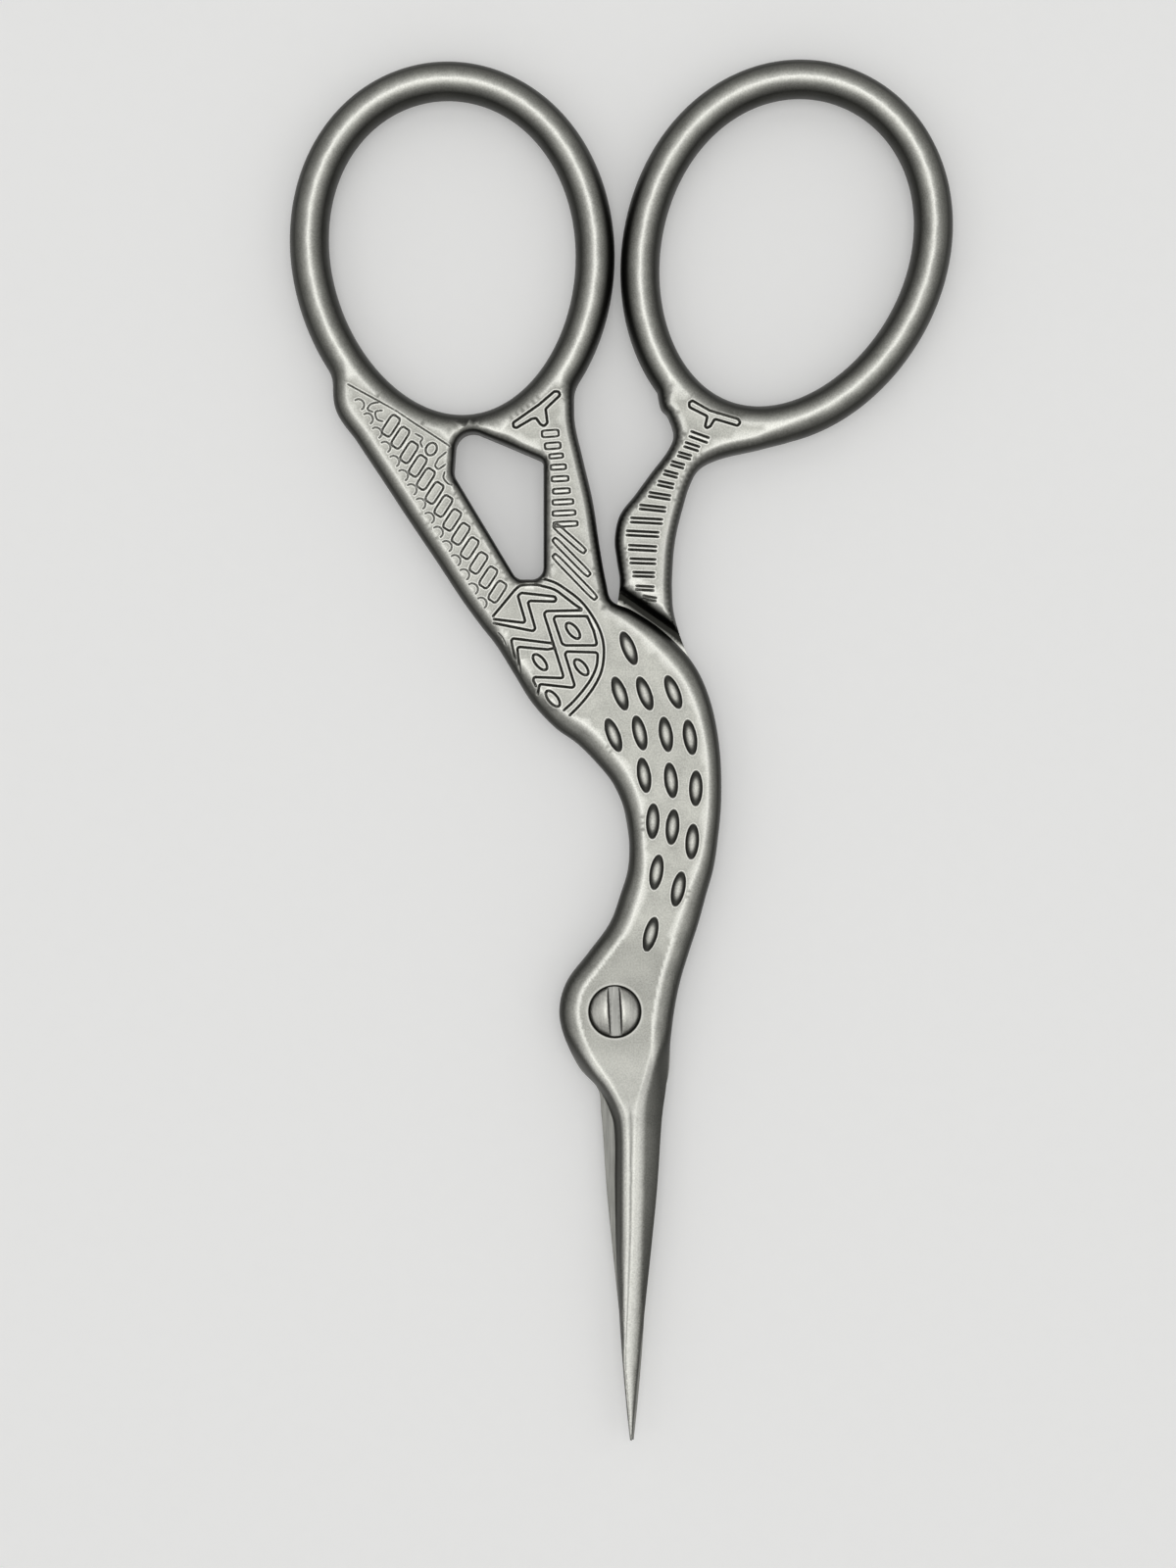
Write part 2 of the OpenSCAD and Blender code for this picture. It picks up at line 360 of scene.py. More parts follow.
def left_of(run: Array) -> Array:
    """Vectors of length 1 that point to the left of each step."""
    length = np.linalg.norm(run, axis=1)
    return np.stack([-run[:, 1], run[:, 0]], 1) / np.maximum(length, 1e-9)[:, None]


def grid_points(low: Sequence[float], high: Sequence[float], step: float) -> Array:
    """A square grid over a box, as rows of points."""
    return np.stack(np.meshgrid(np.arange(low[0], high[0], step), np.arange(low[1], high[1], step)), -1)


def plane_tree(points: Array) -> KDTree:
    """A search tree of points in the plane.

    Args:
        points: the points.

    Returns:
        The tree, which finds their positions in the array.
    """
    tree = KDTree(len(points))
    for i, (x, y) in enumerate(points.tolist()):
        tree.insert((x, y, 0), i)
    tree.balance()
    return tree


def inside(points: Array, loops: Iterable[Array]) -> Array:
    """Which points are inside an odd number of the closed loops.

    Args:
        points: the points.
        loops: the closed loops.

    Returns:
        True or False for each point.
    """
    order = np.argsort(points[:, 1])
    x, y = points[order, 0], points[order, 1]
    odd = np.zeros(len(points), bool)
    for loop in loops:
        for a, b in zip(loop, np.roll(loop, -1, 0)):
            if a[1] == b[1]:
                continue
            low, high = (a, b) if a[1] < b[1] else (b, a)
            i, j = np.searchsorted(y, [low[1], high[1]])
            crossing = low[0] + (y[i:j] - low[1]) * (high[0] - low[0]) / (high[1] - low[1])
            odd[i:j] ^= x[i:j] < crossing
    result = np.empty(len(points), bool)
    result[order] = odd
    return result


def triangles(points: Array, edges: Sequence[tuple[int, int]]) -> tuple[Array, Array, dict[int, int]]:
    """Joins points to triangles that keep the given edges.

    Args:
        points: the points.
        edges: pairs of their positions.

    Returns:
        The new points, the triangles, counter-clockwise, and where each given point went.
    """
    made = delaunay_2d_cdt([Vector(p) for p in points.tolist()], list(edges), [], 0, 1e-6, True)
    places = np.array([tuple(v) for v in made[0]])
    faces = np.array([f for f in made[2] if len(f) == 3])
    a, b, c = (places[faces[:, k]] for k in range(3))
    area = (b[:, 0] - a[:, 0]) * (c[:, 1] - a[:, 1]) - (b[:, 1] - a[:, 1]) * (c[:, 0] - a[:, 0])
    faces[area < 0] = faces[area < 0][:, ::-1]
    went = {old: new for new, olds in enumerate(made[3]) for old in olds}
    return places, faces[np.abs(area) > 1e-12], went


def border(faces: Array) -> dict[int, int]:
    """The open edges of triangles, each from its start to its end, with the area on its left."""
    directed = {(int(f[k]), int(f[(k + 1) % 3])) for f in faces for k in range(3)}
    return {a: b for a, b in directed if (b, a) not in directed}


def merged_outline(added: Sequence[Array], cut: Sequence[Array]) -> list[Array]:
    """The edge loops of the area inside any added loop and outside every cut one.

    Args:
        added: loops round metal.
        cut: loops round openings.

    Returns:
        The loops, the longest first.
    """
    loops = [*added, *cut]
    starts = np.cumsum([0] + [len(loop) for loop in loops])
    edges = [
        (int(s) + i, int(s) + (i + 1) % len(loop)) for s, loop in zip(starts, loops) for i in range(len(loop))
    ]
    places, faces, _ = triangles(np.vstack(loops), edges)
    middles = places[faces].mean(1)
    kept = np.any([inside(middles, [loop]) for loop in added], axis=0)
    for loop in cut:
        kept &= ~inside(middles, [loop])
    follow = border(faces[kept])
    found = []
    while follow:
        first, step = follow.popitem()
        chain = [first]
        while step != first:
            chain.append(step)
            step = follow.pop(step)
        found.append(places[chain])
    return sorted(found, key=lambda loop: -len(loop))


def turns(loop: Array) -> Array:
    """How far a loop turns at each point, in degrees, left being positive.

    Args:
        loop: the closed loop.

    Returns:
        The turn at each point.
    """
    out = np.roll(loop, -1, 0) - loop
    back = loop - np.roll(loop, 1, 0)
    angle = np.arctan2(out[:, 1], out[:, 0]) - np.arctan2(back[:, 1], back[:, 0])
    return np.degrees((angle + math.pi) % (2 * math.pi) - math.pi)


def evened(loop: Array, step: float, corner: float = 22.0) -> Array:
    """The loop with even steps between its corners.

    Args:
        loop: the closed loop.
        step: the longest step.
        corner: the turn in degrees from which a point is kept as a corner.

    Returns:
        The new loop.
    """
    keep = np.flatnonzero(np.abs(turns(loop)) > corner)
    if len(keep) == 0:
        keep = np.array([0])
    loop = np.roll(loop, -keep[0], 0)
    keep = np.append(keep - keep[0], len(loop))
    ring = np.vstack([loop, loop[:1]])
    runs = []
    for i, j in zip(keep[:-1], keep[1:]):
        part = ring[i : j + 1]
        along = np.append(0, np.cumsum(np.linalg.norm(np.diff(part, axis=0), axis=1)))
        places = np.linspace(0, along[-1], max(1, math.ceil(along[-1] / step)) + 1)[:-1]
        runs.append(np.stack([np.interp(places, along, part[:, k]) for k in (0, 1)], 1))
    return np.vstack(runs)


def divided(line: Array, step: float) -> Array:
    """An open line with points added so that no step is longer than the given one.

    Args:
        line: the line.
        step: the longest step.

    Returns:
        The line with its new points.
    """
    parts = [
        a + (b - a) * np.arange(n)[:, None] / n
        for a, b in zip(line[:-1], line[1:])
        for n in [max(1, math.ceil(float(np.linalg.norm(b - a)) / step))]
    ]
    return np.vstack([*parts, line[-1:]])


def softened(loop: Array, sharper: float, reach: float, rounds: int) -> Array:
    """The loop with its inner corners, where the metal has a fillet, rounded.

    Args:
        loop: the closed loop.
        sharper: the turn in degrees from which a corner is rounded.
        reach: how far from the corner the loop moves.
        rounds: how often it is smoothed.

    Returns:
        The new loop.
    """
    bends = turns(loop)
    near = np.zeros(len(loop))
    for i in np.flatnonzero(bends < -sharper):
        near = np.maximum(near, 1 - np.linalg.norm(loop - loop[i], axis=1) / reach)
    weight = np.clip(near, 0, 1)[:, None]
    for _ in range(rounds):
        loop = loop + weight * 0.5 * ((np.roll(loop, 1, 0) + np.roll(loop, -1, 0)) / 2 - loop)
    return loop


class Lines:
    """Line segments in the plane, with the nearest one to any point."""

    def __init__(self, starts: Array, ends: Array, grain: float = 0.05) -> None:
        """Keeps the segments and makes their search tree.

        Args:
            starts: the segments' first ends.
            ends: their other ends.
            grain: the spacing of the samples that the search uses.
        """
        self.starts, self.ends = starts, ends
        counts = np.maximum(1, np.ceil(np.linalg.norm(ends - starts, axis=1) / grain)).astype(int)
        self.owner = np.repeat(np.arange(len(starts)), counts + 1)
        share = np.concatenate([np.linspace(0, 1, n + 1) for n in counts])[:, None]
        self.tree = plane_tree(starts[self.owner] * (1 - share) + ends[self.owner] * share)

    @classmethod
    def of_loops(cls, loops: Sequence[Array]) -> "Lines":
        """The segments of closed loops."""
        return cls(np.vstack(loops), np.vstack([np.roll(loop, -1, 0) for loop in loops]))

    def nearest(self, points: Array) -> tuple[Array, Array, Array]:
        """Finds the nearest segment.

        Args:
            points: the points to start from.

        Returns:
            For each, the distance, the segment and how far along it the nearest place is, from 0 to 1.
        """
        found = self.owner[[self.tree.find((x, y, 0))[1] for x, y in points.tolist()]]
        a, b = self.starts[found], self.ends[found]
        run = b - a
        share = ((points - a) * run).sum(1) / np.maximum((run**2).sum(1), 1e-12)
        share = np.clip(share, 0, 1)
        return np.linalg.norm(points - (a + run * share[:, None]), axis=1), found, share


def thinned(points: Array, spacing: float) -> Array:
    """The points with no two in the same cell of a grid.

    Args:
        points: the points.
        spacing: the cells' size.

    Returns:
        The points that stay, in their order.
    """
    cells = np.round(points / spacing).astype(int)
    _, first = np.unique(cells, axis=0, return_index=True)
    return points[np.sort(first)]


def to_frame(points: Array) -> Array:
    """Points about the pivot in mm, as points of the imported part's frame in metres."""
    return (points - np.array([X_MID, Y_MID, -HALF_T])) * MM


def new_object(name: str, mesh: bpy.types.Mesh) -> bpy.types.Object:
    """An object in the scene that holds the mesh.

    Args:
        name: its name.
        mesh: the mesh.

    Returns:
        The object.
    """
    made = bpy.data.objects.new(name, mesh)
    bpy.context.scene.collection.objects.link(made)
    return made


def point_object(
    name: str, places: Sequence[Sequence[float]], traits: dict[str, list[float]]
) -> bpy.types.Object:
    """An object whose mesh is points with numbers of their own.

    Args:
        name: its name.
        places: the points.
        traits: the numbers, by the attribute's name.

    Returns:
        The object.
    """
    mesh = bpy.data.meshes.new(name)
    mesh.from_pydata(places, [], [])
    for key, values in traits.items():
        mesh.attributes.new(key, "FLOAT", "POINT").data.foreach_set("value", values)
    return new_object(name, mesh)


def dropped(thing: bpy.types.Object) -> None:
    """Removes a helper object and its mesh.

    Args:
        thing: the object.
    """
    mesh = thing.data
    bpy.data.objects.remove(thing)
    bpy.data.meshes.remove(mesh)


# ---------------------------------------------------------------- finishes


def blank_material(name: str) -> tuple[bpy.types.Material, Graph]:
    """A material with an empty tree, and the graph that fills it.

    Args:
        name: its name.

    Returns:
        The material and the graph.
    """
    made = bpy.data.materials.new(name)
    made.use_nodes = True
    made.node_tree.nodes.clear()
    return made, Graph(made.node_tree)


def scaled(colour: Colour, factor: float) -> Colour:
    """A colour made darker or lighter."""
    return tuple(factor * c for c in colour)


@dataclass(frozen=True)
class SatinCoat:
    """Dark satin coating over blasted steel: lighter flats, painted shade in recesses, painted highlights on
    edges.
    """

    name: str = "satin_coat"
    flat: Colour = (0.415, 0.415, 0.378)
    recess: Colour = (0.022, 0.022, 0.019)
    worn: Colour = (0.80, 0.80, 0.745)
    ground: Colour = (0.19, 0.19, 0.175)
    roughness: float = 0.42
    cloud_mm: float = 1.6
    grain_mm: float = 0.11
    streak_mm: float = 0.12
    grain_height_mm: float = 0.004
    # How much of the ground metal shows everywhere
    ground_share: float = 0.0
    # How dark and how light the noise makes the flats and the ground metal
    flat_range: tuple[float, float] = (0.70, 1.26)
    ground_range: tuple[float, float] = (0.82, 1.1)
    # Where a noise goes from 0 to 1
    grain_run: tuple[float, float] = (0.25, 0.75)
    noise_run: tuple[float, float] = (0.3, 0.7)
    # The parts of grain and clouds in the tone, and of grain and specks in the height
    tone_parts: tuple[float, float] = (0.6, 0.4)
    height_parts: tuple[float, float] = (0.6, 0.4)
    # The steady part and the noise's part of the painted highlights on edges and of the painted shade on steep
    # walls
    wear_parts: tuple[float, float] = (0.68, 0.32)
    steep_parts: tuple[float, float] = (0.86, 0.14)
    # What ground metal takes off the painted shade and off the grain's height, and its streaks' height
    ground_light: float = 0.55
    ground_smooth: float = 0.6
    streak_height: float = 0.5
    # What grain, clouds and ground metal change in the roughness
    rough_grain: float = 0.10
    rough_cloud: float = 0.06
    rough_ground: float = 0.06
    speck_size: float = 0.45
    streak_stretch: float = 0.06

    def build(self) -> bpy.types.Material:
        """Makes the material.

        Returns:
            The material, which reads the mesh attributes for painted shade on steep walls and in cuts, for
            painted highlights on lips and edges, and for ground metal.
        """
        made, g = blank_material(self.name)
        place = g.node("ShaderNodeTexCoord", None, None, "Object")

        def mark(name: str) -> Socket:
            """A mesh attribute."""
            return g.node("ShaderNodeAttribute", {"attribute_name": name}, None, "Fac")

        def noise(size_mm: float, detail: float, stretch: Colour = (1, 1, 1)) -> Socket:
            """Cloudy noise of a size, stretched along an axis."""
            at = g.node("ShaderNodeMapping", None, {"Vector": place, "Scale": stretch})
            inputs = {"Vector": at, "Scale": 1 / (size_mm * MM), "Detail": detail}
            return g.node("ShaderNodeTexNoise", None, inputs)

        grain = noise(self.grain_mm, 2.0)
        cloud = noise(self.cloud_mm, 3.0)
        speck = noise(self.grain_mm * self.speck_size, 1.0)
        streak = noise(self.streak_mm, 2.0, (1, self.streak_stretch, 1))
        ground = (mark("ground") + self.ground_share).below(1.0)

        grain_part, cloud_part = self.tone_parts
        coat_tone = grain.ramp(*self.grain_run) * grain_part + cloud.ramp(*self.noise_run) * cloud_part
        tone = coat_tone * (1 - ground) + streak.ramp(*self.noise_run) * ground
        coat, metal = (
            g.blend(tone, scaled(colour, low), scaled(colour, high))
            for colour, (low, high) in ((self.flat, self.flat_range), (self.ground, self.ground_range))
        )
        colour = g.blend(ground, coat, metal)
        # Lips, rims, ridge lines and dimple middles get a painted highlight
        steady, noisy = self.wear_parts
        wear = (mark("lip") * (steady + noisy * grain.ramp(*self.noise_run))).below(1.0)
        colour = g.blend(wear, colour, self.worn)
        # Steep walls, cuts and dimple walls get a painted shade, less of it on ground metal
        steady, noisy = self.steep_parts
        dark = (mark("steep") * (steady + noisy * cloud)).above(mark("groove"))
        colour = g.blend((dark * (1 - self.ground_light * ground)).below(1.0), colour, self.recess)

        rough = self.roughness + self.rough_grain * (grain - 0.5) + self.rough_cloud * (cloud - 0.5)
        grain_part, speck_part = self.height_parts
        height = (grain * grain_part + speck * speck_part) * (1 - self.ground_smooth * ground)
        height = height + streak * ground * self.streak_height
        inputs = {"Strength": 1.0, "Distance": self.grain_height_mm * MM, "Height": height}
        inputs = {
            "Base Color": colour,
            "Metallic": 1.0,
            "Roughness": rough - self.rough_ground * ground,
            "Normal": g.node("ShaderNodeBump", None, inputs),
        }
        g.surface(g.node("ShaderNodeBsdfPrincipled", None, inputs))
        return made


@dataclass(frozen=True)
class PaleFloor:
    """Matt pale paper, which throws little light back on the metal.

    Camera, shine and glass see the paper's colour and a faint glow. Other rays see a darker paper that
    doesn't glow.
    """

    name: str = "pale_floor"
    paper: Colour = (0.86, 0.86, 0.85)
    bounced: Colour = (0.22, 0.22, 0.215)
    glow: Colour = (0.17, 0.17, 0.168)
    roughness: float = 0.9
    shine: float = 0.1
    fibres: float = 900.0
    fibre_shade: float = 0.97

    def build(self) -> bpy.types.Material:
        """Makes the material.

        Returns:
            The material.
        """
        made, g = blank_material(self.name)
        place = g.node("ShaderNodeTexCoord", None, None, "Object")
        fibre = g.node("ShaderNodeTexNoise", None, {"Vector": place, "Scale": self.fibres, "Detail": 4.0})
        colour = g.blend(fibre, scaled(self.paper, self.fibre_shade), self.paper)
        seen = g.node("ShaderNodeLightPath", None, None, "Is Camera Ray")
        for way in ("Is Glossy Ray", "Is Transmission Ray"):
            seen = seen.above(g.node("ShaderNodeLightPath", None, None, way))
        colour = g.blend(seen, self.bounced, colour)
        glow = g.blend(seen, (0.0, 0.0, 0.0), self.glow)
        inputs = {
            "Base Color": colour,
            "Roughness": self.roughness,
            "Specular IOR Level": self.shine,
            "Emission Color": glow,
            "Emission Strength": 1.0,
        }
        g.surface(g.node("ShaderNodeBsdfPrincipled", None, inputs))
        return made


# ---------------------------------------------------------------- marks


class MarkKind(Enum):
    """The outlines that repeat over the bird."""

    OVAL = "oval"
    SLOT = "slot"
    SCALLOP = "scallop"
    PAIR = "pair"


@dataclass(frozen=True)
class Mark:
    """One repeated outline: its middle, its lean from upright in degrees, and its width and length."""

    x: float
    y: float
    lean: float
    width: float
    length: float


@dataclass(frozen=True)
class MarkRows:
    """Repeated outlines of one kind, set out by a node tree that puts one on each point."""

    kind: MarkKind
    marks: tuple[Mark, ...]
    corner: float = 0.28
    sides: int = 28

    def tree(self) -> ShapeTree:
        """The node tree that sets them out.

        Returns:
            The tree.
        """
        tree = ShapeTree(f"{self.kind.value}_rows")
        if self.kind is MarkKind.OVAL:
            outline = tree.node(
                "GeometryNodeCurvePrimitiveCircle",
                None,
                {"Resolution": tree.input("Sides", "NodeSocketInt", 28), "Radius": 0.5},
            )
        elif self.kind is MarkKind.SLOT:
            box = tree.node("GeometryNodeCurvePrimitiveQuadrilateral", None, {"Width": 1.0, "Height": 1.0})
            outline = tree.node(
                "GeometryNodeFilletCurve",
                {"mode": "POLY"},
                {"Curve": box, "Count": 5, "Radius": tree.input("Corner", value=0.28), "Limit Radius": True},
            )
        elif self.kind is MarkKind.PAIR:
            outline = tree.node("GeometryNodeJoinGeometry")
            for x in (-0.5, 0.5):
                ends = {"Start": (x, -0.5, 0), "End": (x, 0.5, 0)}
                line = tree.node("GeometryNodeCurvePrimitiveLine", None, ends)
                tree.tree.links.new(line.link, outline.link.node.inputs[0])
        else:
            outline = tree.node(
                "GeometryNodeCurveArc",
                None,
                {
                    "Resolution": 12,
                    "Radius": 0.5,
                    "Start Angle": math.radians(-95),
                    "Sweep Angle": math.radians(190),
                },
            )
        lean = tree.vector(0.0, 0.0, tree.attribute("lean"))
        rows = tree.node(
            "GeometryNodeInstanceOnPoints",
            None,
            {
                "Points": tree.geometry,
                "Instance": outline,
                "Rotation": tree.node("FunctionNodeEulerToRotation", None, {"Euler": lean}),
                "Scale": tree.vector(tree.attribute("width"), tree.attribute("length"), 1.0),
            },
        )
        real = tree.node("GeometryNodeRealizeInstances", None, {"Geometry": rows})
        tree.finish(tree.node("GeometryNodeCurveToMesh", None, {"Curve": real}))
        return tree

    def points(self) -> bpy.types.Object:
        """An object with a point for each mark.

        Returns:
            The object, whose points hold each mark's lean, width and length.
        """
        traits = {
            "lean": [math.radians(m.lean) for m in self.marks],
            "width": [m.width for m in self.marks],
            "length": [m.length for m in self.marks],
        }
        return point_object(f"{self.kind.value}_points", [(m.x, m.y, 0) for m in self.marks], traits)

    def segments(self) -> tuple[Array, Array]:
        """The outlines' segments, as their first ends and their other ends.

        Returns:
            The first ends and the other ends.
        """
        tree = self.tree()
        sizes = {"Sides": self.sides, "Corner": self.corner}
        source = self.points()
        mesh = tree.bake(source, {k: v for k, v in sizes.items() if k in tree.identifiers})
        dropped(source)
        return mesh_segments(mesh)


@dataclass(frozen=True)
class DrawnLines:
    """Lines drawn point by point, whose corners a node tree rounds."""

    lines: tuple[tuple[tuple[float, float], ...], ...]
    closed: bool = False
    bend: float = 0.12

    def segments(self) -> tuple[Array, Array]:
        """The lines' segments, as their first ends and their other ends.

        Returns:
            The first ends and the other ends.
        """
        tree = ShapeTree("drawn_lines")
        curve = tree.node("GeometryNodeMeshToCurve", None, {"Mesh": tree.geometry})
        bent = tree.node(
            "GeometryNodeFilletCurve",
            {"mode": "POLY"},
            {"Curve": curve, "Count": 4, "Radius": tree.input("Bend", value=0.12), "Limit Radius": True},
        )
        tree.finish(tree.node("GeometryNodeCurveToMesh", None, {"Curve": bent}))
        points, edges = [], []
        for line in self.lines:
            start = len(points)
            points += [(x, y, 0) for x, y in line]
            edges += [(i, i + 1) for i in range(start, len(points) - 1)]
            if self.closed:
                edges.append((len(points) - 1, start))
        mesh = bpy.data.meshes.new("drawn_lines")
        mesh.from_pydata(points, edges, [])
        source = new_object("drawn_lines", mesh)
        baked = tree.bake(source, {"Bend": self.bend})
        dropped(source)
        return mesh_segments(baked)


def mesh_segments(mesh: bpy.types.Mesh) -> tuple[Array, Array]:
    """A mesh's edges in the plane, as their first ends and their other ends. The mesh is removed.

    Args:
        mesh: the mesh.

    Returns:
        The first ends and the other ends.
    """
    places = np.array([v.co[:2] for v in mesh.vertices])
    ends = np.array([tuple(e.vertices) for e in mesh.edges])
    bpy.data.meshes.remove(mesh)
    return places[ends[:, 0]], places[ends[:, 1]]


def curved(points: Sequence[tuple[float, float]], steps: int = 5) -> tuple[tuple[float, float], ...]:
    """A smooth line through a few points."""
    return tuple(tuple(p) for p in smooth_rows(points, steps))


@dataclass
class Cut:
    """Lines that are cut with the same tool: half the cut's width, its depth and how much painted shade it
    gets.
    """

    rows: list[Any]
    half: float
    depth: float
    dark: float
    lines: Lines = field(init=False)

    def __post_init__(self) -> None:
        """Works out the lines' segments."""
        far = np.full((1, 2), 900.0)
        parts = [row.segments() for row in self.rows] or [(far, far + 0.01)]
        self.lines = Lines(np.vstack([p[0] for p in parts]), np.vstack([p[1] for p in parts]), grain=0.04)


@dataclass
class Carving:
    """All that is carved into a half: bold, fine and faint lines and feather dimples."""

    cuts: dict[str, Cut]
    dimples: tuple[Mark, ...] = ()
    dimple_depth: float = 0.26
    lip_width: float = 0.11
    lip_height: float = 0.016
    # The rings of mesh points round a dimple, by their share of its size, and the run of its raised lip
    rings: tuple[float, ...] = (0.0, 0.22, 0.42, 0.56, 0.70, 0.83, 0.94, 1.0, 1.1, 1.24)
    lip_run: float = 0.24
    spacing: float = 0.03

    def rails(self, step: float) -> Array:
        """Points beside and on every line and round every dimple, for a mesh that follows them.

        Args:
            step: the longest step along a line.

        Returns:
            The points, thinned.
        """
        found = []
        for cut in self.cuts.values():
            lines, half = cut.lines, cut.half
            run = lines.ends - lines.starts
            length = np.linalg.norm(run, axis=1)
            counts = np.maximum(1, np.ceil(length / step)).astype(int)
            owner = np.repeat(np.arange(len(run)), counts)
            share = np.concatenate([(np.arange(n) + 0.5) / n for n in counts])[:, None]
            at = lines.starts[owner] + run[owner] * share
            out = left_of(run)[owner]
            found.append(at)
            around = circle(1.0, 8)
            for reach in (0.45 * half, half, half + 0.45 * self.lip_width, half + self.lip_width):
                beside = np.vstack([at + out * reach, at - out * reach])
                for tips in (lines.starts, lines.ends):
                    beside = np.vstack([beside, (tips[:, None] + around * reach).reshape(-1, 2)])
                clear = np.min([c.lines.nearest(beside)[0] / c.half for c in self.cuts.values()], axis=0)
                found.append(beside[clear > 0.96 * reach / half])
        for mark in self.dimples:
            for ring in self.rings:
                a, b = mark.width / 2 * ring, mark.length / 2 * ring
                if ring > 1:
                    sizes = (mark.width, mark.length)
                    a, b = (v / 2 + self.lip_width * (ring - 1) / self.lip_run for v in sizes)
                count = max(10, int(2 * math.pi * math.sqrt((a * a + b * b) / 2) / step))
                if ring < 0.1:
                    shape = np.stack([np.zeros(9), np.linspace(-0.15, 0.15, 9) * mark.length], 1)
                else:
                    shape = circle(1.0, count) * [a, b]
                found.append(turned(shape, mark.lean) + [mark.x, mark.y])
        return thinned(np.vstack(found), self.spacing)

    def line_object(self, name: str, lines: Lines) -> bpy.types.Object:
        """An object whose edges are the lines, in the part's frame, at the floor.

        Args:
            name: its name.
            lines: the lines.

        Returns:
            The object.
        """
        count = len(lines.starts)
        flat = np.zeros((2 * count, 3))
        flat[0::2, :2], flat[1::2, :2] = lines.starts, lines.ends
        flat[:, 2] = -HALF_T
        mesh = bpy.data.meshes.new(name)
        mesh.from_pydata(to_frame(flat).tolist(), [(2 * i, 2 * i + 1) for i in range(count)], [])
        return new_object(name, mesh)

    def dimple_object(self, name: str) -> bpy.types.Object:
        """An object with a point at the middle of each dimple, at the floor.

        Args:
            name: its name.

        Returns:
            The object, whose points hold each dimple's lean and half sizes.
        """
        marks = self.dimples or (Mark(900, 900, 0, 1, 1),)
        places = np.array([(m.x, m.y, -HALF_T) for m in marks])
        traits = {
            "lean": [math.radians(m.lean) for m in marks],
            "half_width": [m.width / 2 * MM for m in marks],
            "half_length": [m.length / 2 * MM for m in marks],
        }
        return point_object(name, to_frame(places).tolist(), traits)


CUT_NAMES = ("Bold", "Fine", "Faint")
# Where a cut's wall and its painted shade run, in half widths from its middle, and its raised lip, in lip
# widths
CUT_WALL, CUT_DARK = (0.25, 1.0), (0.35, 1.05)
LIP_RISE, LIP_FALL = (-0.3, 0.25), (0.25, 1.0)
# A dimple's wall with painted shade, its lip's rise and its middle with a painted highlight, in half sizes from
# its middle
DIMPLE_RISE, DIMPLE_FALL, DIMPLE_DARK = (0.40, 0.66), (0.93, 1.03), 0.88
DIMPLE_LIP_RISE, DIMPLE_MIDDLE, MIDDLE_HIGHLIGHT = (-0.1, 0.25), (0.05, 0.4), 0.35
# Where the carving sets in on a round shoulder
CARVED_FROM = (0.35, 0.7)
# The painted highlight on a shoulder's and on a bevel's upper edge
RIM_RISE, RIM_FALL, RIM_HIGHLIGHT = (0.68, 0.90), (0.96, 1.0), 0.9
BEVEL_RISE, BEVEL_FALL, BEVEL_DROP = (0.78, 0.99), (0.985, 1.0), 0.6
# How upright a face's normal is where its painted shade ends, and how much less of it a blade gets
UPRIGHT, BLADE_LIGHT = (0.66, 0.985), 0.1


